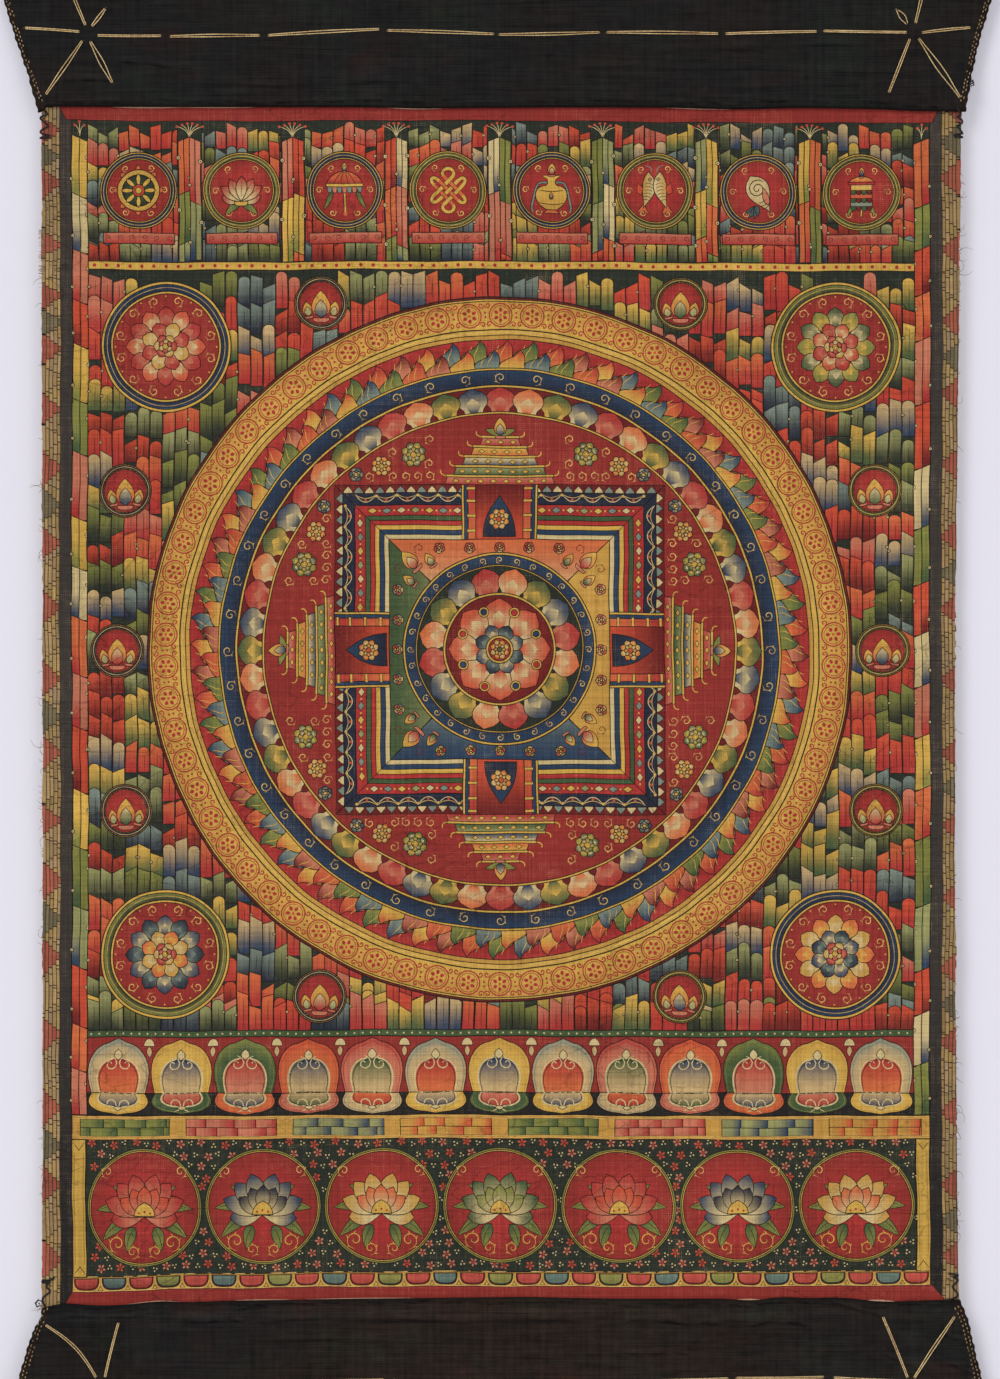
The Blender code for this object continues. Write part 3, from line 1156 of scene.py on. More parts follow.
def under_wheel(x, z):
    rounds = [(WHEEL, BROCADE_RADIUS - 1)] + [(spot, CORNER_RADIUS) for spot in CORNER_WINDOWS]
    rounds += [(spot, SMALL_RADIUS) for spot in SMALL_WINDOWS]
    return any(math.hypot(*(spot.middle - (x, z))) < radius - 3 for spot, radius in rounds)


crystals = rock_ground(-FIELD_X, WHEEL_BOTTOM, FIELD_X, WHEEL_TOP, under_wheel, 5.0, 12.0)
fill(slab(FIELD_X, WHEEL_TOP, SIGN_BOTTOM), "yellow")
for x in np.arange(-FIELD_X + 2.4, FIELD_X, 4.87):
    dot(Spot(x, (WHEEL_TOP + SIGN_BOTTOM) / 2), 0.75, "crimson")
print(crystals, "crystals round the wheel")

# %% [markdown]
# The corner windows hold large flowers seen from above, and the small ones jewels.

# %% Corner flowers and jewels
CORNER_TINTS = [(REDS, WARM), (BLUES, GOLDS), (GREENS, REDS), (GOLDS, BLUES)]
for number, spot in enumerate(CORNER_WINDOWS):
    inner = window(spot, CORNER_RADIUS, number // 2 + number)
    outer_tints, inner_tints = CORNER_TINTS[number]
    window_scrolls(inner, 12, 11.0, 1.35)
    petal_wheel(inner, 12, 4.4, 9.6, outer_tints)
    petal_wheel(inner, 8, 2.2, 6.0, inner_tints, start=22.5)
    rosette(inner, 2.9, WARM, 6)
    beads(inner, 12.05, 24, 0.2)
for number, spot in enumerate(SMALL_WINDOWS):
    inner = window(spot, SMALL_RADIUS, number)
    seat = inner.spot(0, -8.6)
    tint, flame_tint = ("blue", "green", "crimson")[number % 3], "orange"
    for side in (-1, 1):
        jewel(seat.spot(side * 7.0, 1.0, 0.8, turn=-side * 12), 11.0, "sage", "vermilion")
    jewel(seat, 16.0, tint, flame_tint)
print(len(CORNER_WINDOWS) + len(SMALL_WINDOWS), "windows")

# %% [markdown]
# The wheel's outer rings, from outside in: a gold rim, tongues of flame in five
# colours that all lean one way, an indigo ring with gold scrolls, and a ring of petals.

# %% Outer rings of the great wheel
FLAME_RING = (112.5, 124.0)
DARK_RING = (105.0, 112.5)
PETAL_RING = (94.5, 105.0)
FLAME_TINTS = [("crimson", "orange"), ("green", "leaf"), ("blue", "pale blue"), ("vermilion", "yellow"),
    ("deep red", "pink")]


def flame(spot, height, pair):
    """A tongue of flame that leans over, with two yellow lines that follow it."""
    deep, light = pair
    rise = bezier((-5.4, 0), (-7.2, 0.62 * height), (0.4, 0.46 * height), (2.4, height), count=8)
    fall = bezier((2.4, height), (6.8, 0.6 * height), (2.6, 0.3 * height), (5.6, 0), count=7)
    shaded(spot, np.concatenate([rise, fall[1:]]), light, 0.15 * height, deep, 0.95 * height, width=0.3)
    for x in (-2.2, 0.4):
        line(spot(bezier((x - 0.6, 0.4), (x - 1.6, 0.5 * height), (x + 1.0, 0.5 * height),
            (x + 1.2, 0.8 * height), count=7)), 0.32, "yellow", taper=True)


disc(WHEEL, BROCADE_RADIUS, "deep red", width=0.5)
disc(WHEEL, BROCADE_RADIUS - 0.9, "yellow")
disc(WHEEL, BROCADE_RADIUS - 1.7, glow(WHEEL, "yellow", "ochre", 139, 129))
for place in WHEEL.around(66, 133.8):
    line(place(circle(4.7, 1.9)), 0.5, "crimson", closed=True)
    line(place(circle(3.8, 1.7)), 0.26, "crimson", closed=True)
    for leaf_spot in place.around(6, 1.1):
        fill(leaf_spot(petal(2.1, 1.5, count=3)), "crimson", rim=None)
    dot(place, 0.55, "vermilion")
    for up in (-1, 1):
        for across in (-1, 1):
            line(place.spot(6.4 + across * 1.3, up * 3.8)(
                curl(1.35, 1.2, 90 + up * 90, 9) * (across, 1)), 0.42, "crimson")
        dot(place.spot(6.4, up * 0.9), 0.5, "crimson")
disc(WHEEL, WHEEL_RADIUS, "yellow", width=0.5)
line(WHEEL(circle(WHEEL_RADIUS - 1.2, 3.0)), 0.4, "gold", closed=True)
disc(WHEEL, WHEEL_RADIUS - 2.2, "ochre")
disc(WHEEL, FLAME_RING[1], glow(WHEEL, "deep red", "crimson", *FLAME_RING[::-1]))
for row, (count, reach, height) in enumerate(((72, 114.6, 9.2), (72, 111.4, 8.4))):
    for number, place in enumerate(WHEEL.around(count, reach, row * 180 / count)):
        flame(place, height, FLAME_TINTS[(number + 2 * row) % 5])
disc(WHEEL, DARK_RING[1], "yellow")
disc(WHEEL, DARK_RING[1] - 0.9, glow(WHEEL, "indigo", "blue", DARK_RING[1], DARK_RING[0]))
for number, place in enumerate(WHEEL.around(48, sum(DARK_RING) / 2 - 0.2)):
    scroll(by_turns(place, number), 2.3, leaves=2)
disc(WHEEL, DARK_RING[0] + 0.6, "yellow")
disc(WHEEL, DARK_RING[0] - 0.4, "deep red")
petal_wheel(WHEEL, 56, PETAL_RING[0], PETAL_RING[1] - 0.2, MANY)
print(len(painter.fields), "fields so far")

# %% [markdown]
# Inside the petals lies a red court. Gold scrolls and small flowers cover it in rings,
# before the hall is drawn over its middle.

# %% The red court
COURT = 94.0
disc(WHEEL, COURT + 0.9, "yellow")
disc(WHEEL, COURT, glow(WHEEL, "crimson", "red band", COURT, 40))
GATE_REACH = 26.0                 # half the width of a gate with its roof
HALL_REACH = 66.0                 # from the middle to the hall's outer side
flowers = [(34.5, 78.0, 5.2, GREENS), (47.5, 73.5, 4.2, GOLDS), (57.5, 70.2, 3.0, BLUES)]
for quarter in WHEEL.around(4):
    for side in (-1, 1):
        turning = 0
        for x in np.arange(GATE_REACH + 2, HALL_REACH, 4.9):
            for z in np.arange(HALL_REACH + 3.2, math.sqrt(COURT ** 2 - x ** 2) - 2.4, 4.9):
                turning += 1
                if min(math.hypot(x - fx, z - fz) - r for fx, fz, r, _ in flowers) > 1.6:
                    scroll(by_turns(quarter.spot(side * x, z), turning), 2.1)
        for x, z, radius, tints in flowers:
            rosette(quarter.spot(side * x, z), radius, tints, 8 if radius > 4 else 6)
print("court done:", len(painter.fields), "fields")

# %% [markdown]
# The hall is square. Its wall is five stripes, and round it run a beam set with jewels,
# a frieze of garlands and a parapet of petals. Each side opens in a gate, whose roof
# rises in steps to a jewel. One side is drawn, and turned four times.

# %% One side of the hall
HALL = 44.0
STRIPES = ("bone", "blue", "yellow", "crimson", "green")
STRIPE_WIDTH = 1.9
GATE_HALF = 9.5
WALL_OUT = HALL + 5 * STRIPE_WIDTH
BEAM_OUT = WALL_OUT + 4.2
GARLAND_OUT = BEAM_OUT + 5.0
PARAPET_OUT = GARLAND_OUT + 3.2


def floor_wedge(quarter, light, deep):
    """The floor between the middle and the side that this spot faces."""
    shaded(quarter, [(0, 0), (HALL, HALL), (-HALL, HALL)], light, 12, deep, HALL)


def bar(quarter, inner, outer, tint):
    """A strip along the whole side with mitred ends."""
    fill(quarter([(-inner, inner), (inner, inner), (outer, outer), (-outer, outer)]), tint, width=0.26)


def hall_side(quarter):
    bar(quarter, GARLAND_OUT, PARAPET_OUT, "deep red")
    pitch, middles = evenly(30, GARLAND_OUT)
    for number, x in enumerate(middles):
        fill(quarter.spot(x, GARLAND_OUT)(arch(pitch * 0.86, 2.7, 0.3, 5)),
            ("bone", "pale blue")[number % 2], width=0.22)
    bar(quarter, BEAM_OUT, GARLAND_OUT, "indigo")
    pitch, middles = evenly(14, BEAM_OUT)
    for x in middles:
        swag = quarter.spot(x, BEAM_OUT)
        line(swag(bezier((-pitch / 2, 4.4), (0, -1.6), (pitch / 2, 4.4), count=8)), 0.34, "bone")
        line(swag(bezier((-pitch / 2, 4.4), (0, 1.4), (pitch / 2, 4.4), count=7)), 0.3, "gold")
        dot(swag.spot(0, 2.2), 0.55, "vermilion")
        dot(swag.spot(pitch / 2, 3.9), 0.6, "yellow")
    bar(quarter, WALL_OUT, BEAM_OUT, "crimson")
    pitch, middles = evenly(19, WALL_OUT)
    for number, x in enumerate(middles):
        gem = quarter.spot(x, (WALL_OUT + BEAM_OUT) / 2)
        fill(gem([(-1.9, 0), (0, -1.3), (1.9, 0), (0, 1.3)]),
            ("yellow", "pale blue", "bone", "sage")[number % 4], width=0.24)
        dot(gem.spot(pitch / 2, 0), 0.42, "yellow")
    for number, name in enumerate(STRIPES[::-1]):
        bar(quarter, WALL_OUT - STRIPE_WIDTH * (number + 1), WALL_OUT - STRIPE_WIDTH * number, name)


def gate(quarter):
    """A T-shaped gate: posts, then roof steps that narrow upwards, and a jewel."""
    fill(quarter(box(-GATE_HALF - 5.6, HALL, GATE_HALF + 5.6, PARAPET_OUT)), "yellow")
    fill(quarter(box(-GATE_HALF - 4.6, HALL, GATE_HALF + 4.6, PARAPET_OUT)), "blue")
    for side in (-1, 1):
        post = quarter.spot(side * (GATE_HALF + 1.4), HALL)
        shaded(post, slab(1.7, 0, PARAPET_OUT - HALL), "orange", 0, "crimson", PARAPET_OUT - HALL)
        for z in (3.0, 9.0, 15.0, 20.0):
            fill(post(slab(2.2, z, z + 1.1)), "yellow", width=0.24)
    shaded(quarter, slab(GATE_HALF, HALL, PARAPET_OUT), "vermilion", HALL, "deep red", PARAPET_OUT)
    door = quarter.spot(0, HALL + 1.0)
    shaded(door, arch(13.0, 16.5, 0.2), "indigo", 0, "blue", 16)
    rosette(door.spot(0, 7.2), 4.4, GOLDS, 8, "vermilion")
    steps = [(22.0, "pink", "crimson"), (18.4, "sage", "green"), (15.0, "bone", "blue"),
        (11.6, "yellow", "orange"), (8.2, "pink", "crimson")]
    low = PARAPET_OUT
    for half, light, deep in steps:
        roof = quarter.spot(0, low)
        shaded(roof, [(-half, 0), (half, 0), (half - 1.1, 2.9), (-half + 1.1, 2.9)], deep, 0, light, 2.9,
            width=0.3)
        fill(roof(box(-half + 0.6, 2.9, half - 0.6, 3.9)), "yellow", width=0.24)
        for number in range(int(half / 2.6)):
            x = (number - (int(half / 2.6) - 1) / 2) * 5.0
            if abs(x) < half - 2:
                fill(roof([(x - 1.3, 1.45), (x, 0.6), (x + 1.3, 1.45), (x, 2.3)]), "yellow", width=0.2)
        for side in (-1, 1):
            line(roof(bezier((side * (half - 0.6), 3.4), (side * (half + 2.0), 3.6),
                (side * (half + 1.4), 5.6), count=6)), 0.45, "yellow")
        low += 3.9
    crown = quarter.spot(0, low)
    for side in (-1, 1):
        fill(crown.spot(0, 0, turn=-side * 52)(leaf(6.4, 2.8, side * 0.3)), "leaf", width=0.26)
    jewel(crown, 7.2, "blue", "orange")


floors = [("bone", "orange"), ("sage", "green"), ("pale blue", "blue"), ("yellow", "ochre")]
sides = list(WHEEL.around(4))
for quarter in sides:
    hall_side(quarter)
for quarter in sides:
    gate(quarter)
for quarter, (light, deep) in zip(sides, floors):
    floor_wedge(quarter, light, deep)
print("hall done:", len(painter.fields), "fields")

# %% [markdown]
# The floor of each quarter has its own colour, strewn with flowers, and the middle is
# a lotus in a ring of petals. At its heart is a small wheel of eight jewels.

# %% The heart of the great wheel
for number, quarter in enumerate(sides):
    for x in (-24, -12, 0, 12, 24):
        rosette(quarter.spot(x, 40.6), 2.3, MANY[number:number + 1] + WARM, 5)
    for x in (-32, 32):
        scroll(quarter.spot(x, 40.4, flip=1 if x > 0 else -1), 2.2, "deep red", 0.26)
for quarter in WHEEL.around(4, 0, 45):
    spot = quarter.spot(0, 50.5)
    jewel(spot.spot(0, -4.0), 8.6, "crimson", "orange")
    for side in (-1, 1):
        jewel(spot.spot(side * 5.4, -8.0, 0.8, turn=-side * 10), 7.0, "green", "vermilion")
disc(WHEEL, 38.6, "yellow", width=0.4)
disc(WHEEL, 37.6, glow(WHEEL, "indigo", "blue", 37.6, 30))
for number, place in enumerate(WHEEL.around(32, 35.6)):
    scroll(by_turns(place, number), 1.5, leaves=1)
disc(WHEEL, 33.6, "yellow")
disc(WHEEL, 33.0, "dark green")
petal_wheel(WHEEL, 16, 21.0, 32.8, MANY, start=11.25)
disc(WHEEL, 22.6, "yellow")
disc(WHEEL, 21.6, glow(WHEEL, "crimson", "deep red", 21.6, 8))
petal_wheel(WHEEL, 8, 7.6, 20.6, [("vermilion", "bone")])
for number, place in enumerate(WHEEL.around(8, 16.0, 22.5)):
    disc(place, 2.1, "yellow", width=0.26)
    disc(place, 1.35, ("blue", "crimson")[number % 2], width=0.22)
petal_wheel(WHEEL, 8, 3.6, 10.4, BLUES, start=22.5)
disc(WHEEL, 5.6, "yellow")
disc(WHEEL, 4.6, "crimson")
rosette(WHEEL, 4.2, GOLDS, 8, "green")
print("heart done:", len(painter.fields), "fields")

# %% [markdown]
# Under the wheel stands a double row of lotus petals, the base that such a picture
# rests on: tall petals upwards, and a low row of them turned down like a reflection.

# %% The lotus base
BASE_TOP, BASE_LINE, BASE_BOTTOM = -444.6, -467.0, PLANK_TOP
PETALS_ACROSS = 13
fill(slab(FIELD_X, BASE_TOP, WHEEL_BOTTOM), "green")
beads_z = (BASE_TOP + WHEEL_BOTTOM) / 2
for x in np.arange(-FIELD_X + 1.6, FIELD_X, 3.3):
    dot(Spot(x, beads_z), 0.42, "bone")
lotus_row(PETALS_ACROSS, FIELD_X, BASE_LINE, BASE_TOP)
fill(slab(FIELD_X, BASE_BOTTOM, BASE_LINE), "black")
petal_row(PETALS_ACROSS, FIELD_X, BASE_LINE, BASE_LINE - BASE_BOTTOM - 0.4, 1, turn=180)
print("base done:", len(painter.fields), "fields")

# %% [markdown]
# The long lower panel is dark green, strewn with flowers and white dots. Seven round
# red fields hold a great blossom each, on a vine whose leaves curl round it.

# %% The lower panel
PANEL_TOP, PANEL_BOTTOM = PLANK_BOTTOM, JEWEL_TOP
PANEL_X = BAND_INNER - FRAME_WIDTH
PANEL_MIDDLE = (PANEL_TOP + PANEL_BOTTOM) / 2
BLOSSOMS = 7
BLOSSOM_RADIUS = 21.6
blossom_x = evenly(BLOSSOMS, PANEL_X)[1]


def under_blossom(x, z):
    return any(math.hypot(x - middle, z - PANEL_MIDDLE) < BLOSSOM_RADIUS + 1.5 for middle in blossom_x)


def great_blossom(spot, kind):
    tints = (REDS, BLUES, GOLDS, GREENS)[kind % 4]
    tip, foot = tints[0]
    for side in (-1, 1):
        for turn, length in ((36, 11.5), (70, 13.5), (106, 13.5), (142, 10.5)):
            place = spot.spot(0, -3.0, turn=-side * turn)
            fill(place.spot(0, 5.2)(leaf(length - 2.4, 4.2, side * 0.34)),
                fade(place, "green", (0, 4), "leaf", (0, length + 3)), width=0.28)
            line(place.spot(0, 5.2)(bezier((0, 0.4), (0, 0.5 * length),
                (side * 0.24 * length, 0.74 * length), count=5)), 0.22)
    for angle in (-96, 96, -68, 68, -40, 40, -16, 16):
        place = spot.spot(0, -3.4, turn=angle)
        length = 14.5 if abs(angle) < 80 else 11.5
        shaded(place, petal(length, 6.4, 0.58, 0.7, 8), foot, 3.5, tip, length, width=0.3)
    for angle in (-52, 52, -24, 24, 0):
        place = spot.spot(0, -3.8, turn=angle)
        shaded(place, petal(10.4, 5.0, 0.58, 0.72, 7), foot, 1.0, tints[1][0], 10.0, width=0.28)
    fill(spot.spot(0, -3.4)(arch(7.0, 4.6, 0.1)), "yellow", width=0.3)
    for x in (-1.9, 0, 1.9):
        dot(spot.spot(x, -1.9 - abs(x) * 0.25), 0.42, "crimson")
    for side in (-1, 1):
        scroll(spot.spot(side * 9.4, -12.4, flip=side), 3.2, "yellow", 0.4)
        scroll(spot.spot(side * 4.0, -15.2, flip=-side), 2.4, "yellow", 0.36)
    for side in (-1, 1):
        scroll(spot.spot(side * 12.8, 11.6, flip=side), 2.2)


fill(slab(PANEL_X, PANEL_BOTTOM, PANEL_TOP), "dark green")
strewn(-PANEL_X + 1, PANEL_BOTTOM + 1, PANEL_X - 1, PANEL_TOP - 1, 4.4, under_blossom)
for number, middle in enumerate(blossom_x):
    spot = Spot(middle, PANEL_MIDDLE)
    disc(spot, BLOSSOM_RADIUS + 1.4, "leaf")
    disc(spot, BLOSSOM_RADIUS + 0.6, "yellow", width=0.3)
    disc(spot, BLOSSOM_RADIUS, glow(spot, "crimson", "red band", BLOSSOM_RADIUS, 8))
    great_blossom(spot.spot(0, 0.6, 1.16), number)
print("panel done:", len(painter.fields), "fields,", len(painter.ink), "ink lines,",
      len(painter.gold), "gold lines")

# %% [markdown]
# No hand draws a ruled line. One gentle waver moves every point of the drawing, so that
# fields, outlines and gold stay together. The side borders also lie a little to the
# right, the top right corner hangs low, and the bottom left corner droops.

# %% The waver of the hand
BORDERS_SHIFT = 0.4
RIGHT_HANGS = 0.6
CORNER_DROOPS = 1.5
LOW_END_TILTS = 0.7


def waver(points):
    x, z = points.T
    across = (0.3 * np.sin(z / 31 + 0.6) + 0.16 * np.sin(x / 9.3 + z / 7.1)
        + 0.08 * np.sin(z / 3.1 - x / 4.7) + BORDERS_SHIFT * smooth((np.abs(x) - 150) / 15))
    up = (0.3 * np.sin(x / 37 + 1.9) + 0.16 * np.sin(x / 8.1 - z / 10.3 + 2.0)
        + 0.08 * np.sin(x / 3.3 + z / 5.3) - RIGHT_HANGS * x / 180 * smooth((z + 240) / 160)
        + (LOW_END_TILTS * x / 180 - CORNER_DROOPS * smooth((-x - 115) / 60)) * smooth((-z - 480) / 60))
    return points + np.stack([across, up], 1)


# %% [markdown]
# Each mount panel's turned edge was sewn on a little askew: its drop is read from the
# photograph at a few places, and the seam runs smoothly through them. At both seams
# the paint stops short in places, and a sliver of bare cotton shows.

# %% The two seams, and slivers of bare cotton
UPPER_LINE = np.array([            # x, and how far down the seam lies there, in mm
    (-185, 75.4), (-183, 75.0), (-181.5, 73.0), (-176, 72.8), (-60, 72.9), (-32, 73.5),
    (24, 73.0), (66, 73.2), (94, 74.0), (122, 73.2), (150, 73.6), (164, 74.4), (190, 75.0)])
LOWER_LINE = np.array([(-185, 553.4), (-181, 552.4), (-174, 551.0), (-166, 551.8), (-158, 552.3),
    (-150, 551.9), (-143, 551.1), (-135, 550.3), (-125, 550.9), (-112, 550.2), (-88, 550.0),
    (-18, 548.9), (10, 548.5), (52, 549.2), (92, 549.4), (99, 550.3), (106, 549.6), (112, 548.5),
    (123, 549.2), (133, 548.7), (142, 549.3), (152, 550.7), (168, 550.0), (190, 549.3)])
SLIVERS = [  # first x, last x, how far it shows, and whether it is at the upper seam
    (-155, -126, 0.5, True), (-128, -98, 0.35, True), (-45, -23, 0.4, True),
    (66, 92, 0.3, True), (-150, -128, 0.3, False), (-106, -84, 0.3, False),
    (-77, -34, 0.25, False), (95, 104, 0.5, False), (147, 158, 0.7, False)]
COLOUR["worn edge"] = linear((196, 150, 122))


def seam_line(line, x):
    """The drop in mm of a seam at x: straight pieces with rounded corners."""
    shifts = (-4.0, -2.0, 0.0, 2.0, 4.0)
    spread = np.clip((180 - np.abs(x)) / 20, 0.15, 1)
    return sum(np.interp(x + shift * spread, *line.T) for shift in shifts) / len(shifts)


def sliver(first, last, shows, upper):
    x = np.linspace(first, last, 14)
    depth = shows * np.sin(np.linspace(0, math.pi, 14)) ** 0.8
    if upper:
        edge = -seam_line(UPPER_LINE, x) - depth
        back = edge + depth + 2.5
    else:
        edge = -seam_line(LOWER_LINE, x) + depth
        back = edge - depth - 2.5
    outline = np.concatenate([np.stack([x, edge], 1), np.stack([x, back], 1)[::-1]])
    fill(2 * outline - waver(outline), "worn edge", rim=None)


for row in SLIVERS:
    sliver(*row)
print(len(SLIVERS), "slivers")

# %% [markdown]
# Before the fields are cut from one sheet, each outline gets points along its long
# sides, so that it can follow the folds of the cloth.


# %% Points along an outline
def divided(outline, longest, closed=True):
    """The same outline, with points added so that no side is longer than that."""
    ends = np.roll(outline, -1, 0) if closed else outline[1:]
    starts = outline if closed else outline[:-1]
    counts = np.maximum(1, np.ceil(np.linalg.norm(ends - starts, axis=1) / longest))
    made = [start + (end - start) * (np.arange(int(count)) / count)[:, None]
            for start, end, count in zip(starts, ends, counts)]
    if not closed:
        made.append(outline[-1:])
    return np.concatenate(made)


# %% [markdown]
# The cloth's own outline comes from the CAD sides. Its raw edge is cut by hand between
# two threads, so it wanders by a fraction of a millimetre and has small nicks.

# %% The outline of the painted cloth
PAINTED_SIDES = np.array([(64.4, -183.2, 184.6), (150.0, -183.2, 183.6), (270.0, -182.8, 182.0),
    (366.0, -182.8, 181.8), (480.0, -182.8, 182.4), (558.8, -183.2, 183.4)])


def cloth_outline():
    drops = np.arange(CLOTH_TOP, CLOTH_BOTTOM, 1.6 * MM) / MM
    drops[-1] = CLOTH_BOTTOM / MM
    sides = []
    for column, outward, seed in ((1, -1, 3.0), (2, 1, 8.0)):
        edge = np.interp(drops, PAINTED_SIDES[:, 0], PAINTED_SIDES[:, column])
        nicks = np.array([noise.noise(Vector((seed, drop * 0.35, 0))) for drop in drops])
        drift = np.array([noise.noise(Vector((seed, drop * 0.05, 5))) for drop in drops])
        edge = edge + outward * (0.35 * nicks + 0.4 * drift)
        sides.append(np.stack([edge, -drops], 1))
    left, right = sides
    return np.concatenate([left, right[::-1]])


outline = divided(cloth_outline(), 5.0)
print("outline of", len(outline), "points")

# %% [markdown]
# Flat fields that overlap become one clean mesh by a constrained Delaunay
# triangulation: it cuts every outline into one set of triangles and says which fields
# hold each, and the field painted last wins. Boolean cuts would be far slower. A grid
# of points keeps the triangles short enough to follow the folds.

# %% One mesh from all the fields
GRID_STEP = (5.0, 10.0)           # across and down: the folds run down
BACK_STEP = (10.0, 20.0)
LONGEST_SIDE = 5.0


def grid_points(step):
    x, z = np.meshgrid(np.arange(-180, 181, step[0]), np.arange(-555, -66, step[1]))
    return np.stack([x.ravel(), z.ravel()], 1)


def triangulated(points, sides, faces):
    """Points, triangles inside face 0, and the number of the last face round each one."""
    found = delaunay_2d_cdt([Vector(point) for point in points], sides, faces, 1, 1e-4, True)
    places = np.array([(v.x, v.y) for v in found[0]])
    last = np.array([max(owners, default=0) for owners in found[5]])
    inside = np.array([0 in owners for owners in found[5]])
    corners = np.array([list(face) for face in found[2]])
    return places, corners[inside], last[inside]


def all_faces(outlines):
    """The numbers of each outline's points, when the outlines follow each other."""
    counts = [len(one) for one in outlines]
    starts = np.concatenate([[0], np.cumsum(counts)])
    return [list(range(start, start + count)) for start, count in zip(starts, counts)]


drawn = [outline] + [waver(divided(field, LONGEST_SIDE)) for field, tint in painter.fields]
places, corners, owner = triangulated(
    np.concatenate([*drawn, grid_points(GRID_STEP)]), [], all_faces(drawn))
print(len(drawn), "outlines gave", len(places), "points and", len(corners), "triangles")

# %% [markdown]
# Outlines that lie hidden under later fields still cut the mesh. So a second pass keeps
# only the sides where the top field changes, triangulates those afresh, and asks the
# first mesh which field the middle of each new triangle belongs to.

# %% Only the outlines that show
def flat_surface():
    """The flat drawing, to ask which triangle lies at a place."""
    return BVHTree.FromPolygons([(x, z, 0.0) for x, z in places.tolist()], corners.tolist())


def sides_of(corners):
    return np.concatenate([corners[:, [0, 1]], corners[:, [1, 2]], corners[:, [2, 0]]])


def sides_that_show():
    sides = np.sort(sides_of(corners), axis=1)
    owners = np.tile(owner, 3)
    order = np.lexsort((sides[:, 1], sides[:, 0]))
    sides, owners = sides[order], owners[order]
    twin = (sides[1:] == sides[:-1]).all(1) & (owners[1:] == owners[:-1])
    keep = np.ones(len(sides), bool)
    keep[1:][twin] = False
    keep[:-1][twin] = False
    return np.unique(sides[keep], axis=0)


def rim_loop():
    """The rim of the mesh as one loop of point numbers, as its triangles run."""
    known = set(map(tuple, sides_of(corners).tolist()))
    following = {a: b for a, b in known if (b, a) not in known}
    start = next(iter(following))
    loop = [start]
    while following[loop[-1]] != start:
        loop.append(following[loop[-1]])
    return loop, len(following)


def second_pass():
    surface = flat_surface()
    used, numbers = np.unique(sides_that_show(), return_inverse=True)
    renamed = dict(zip(used.tolist(), range(len(used))))
    rim = [renamed[number] for number in rim_loop()[0]]
    new_places, new_corners, _ = triangulated(np.concatenate([places[used], grid_points(GRID_STEP)]),
        numbers.reshape(-1, 2).tolist(), [rim])
    middles = new_places[new_corners].mean(1)
    new_owner = [owner[surface.find_nearest((x, z, 0.0))[2]] for x, z in middles.tolist()]
    return new_places, new_corners, np.array(new_owner)


places, corners, owner = second_pass()
print("after the second pass:", len(places), "points and", len(corners), "triangles")

# %% [markdown]
# The tints are then read at each corner of each triangle and kept as a colour
# attribute, in linear light. Corners, and not points, hold the colour, so two fields
# can meet in a sharp edge.


# %% Colours for the corners
def corner_colours():
    colours = np.empty((len(corners), 3, 3))
    order = np.argsort(owner, kind="stable")
    splits = np.flatnonzero(np.diff(owner[order])) + 1
    for group in np.split(order, splits):
        number = owner[group[0]]
        tint = painter.fields[number - 1][1] if number else flat("cotton")
        at = places[corners[group]].reshape(-1, 2)
        colours[group] = tint(at).reshape(-1, 3, 3)
    return colours.clip(0, 1)


paint = corner_colours()
print("mean colour, linear:", paint.mean((0, 1)).round(3))

# %% [markdown]
# The flat drawing is laid on the hanging cloth by one function. Another gives the
# direction in which the cloth faces, which the pieces use as their shading normal, so
# the picture shades smoothly however its triangles fall.


# %% From the flat drawing to the hanging cloth
def hung(points, out):
    """Places in metres for flat points in mm, standing out by that many mm."""
    x, drop = points[:, 0] * MM, -points[:, 1] * MM
    return np.stack([x, -(forward(x, drop) + out * MM), -drop], 1)


def facing(points):
    x, drop, step = points[:, 0] * MM, -points[:, 1] * MM, 0.5 * MM
    across = (forward(x + step, drop) - forward(x - step, drop)) / (2 * step)
    down = (forward(x, drop + step) - forward(x, drop - step)) / (2 * step)
    normal = np.stack([-across, -np.ones(len(x)), down], 1)
    return normal / np.linalg.norm(normal, axis=1)[:, None]


def make_mesh(name, vertices, faces, colours=None, normals=None):
    mesh = bpy.data.meshes.new(name)
    mesh.from_pydata(vertices.tolist(), [], [list(face) for face in faces])
    if colours is not None:
        layer = mesh.color_attributes.new("paint", "FLOAT_COLOR", "CORNER")
        rgba = np.ones((len(mesh.loops), 4), np.float32)
        rgba[:, :3] = colours
        layer.data.foreach_set("color", rgba.ravel())
    mesh.polygons.foreach_set("use_smooth", [True] * len(mesh.polygons))
    if normals is not None:
        mesh.normals_split_custom_set_from_vertices(normals.tolist())
    piece = bpy.data.objects.new(name, mesh)
    bpy.context.scene.collection.objects.link(piece)
    return piece


# %% [markdown]
# The sheet is closed: the painted face, a plain back whose rim has the same points,
# and a narrow wall between them. The back is triangulated from the front's own rim.

# %% The painted sheet
CLOTH_THICKNESS = 0.8             # mm, inside the 1 mm of the CAD sheet
FRONT_OUT = 0.48                  # mm in front of the middle of the CAD sheet
BACK_OUT = FRONT_OUT - CLOTH_THICKNESS


loop, sides_found = rim_loop()
back_places, back_corners, _ = triangulated(
    np.concatenate([places[loop], grid_points(BACK_STEP)]), [], all_faces([loop]))
print("rim of", len(loop), "points, of", sides_found, "sides; back has", len(back_corners), "triangles")


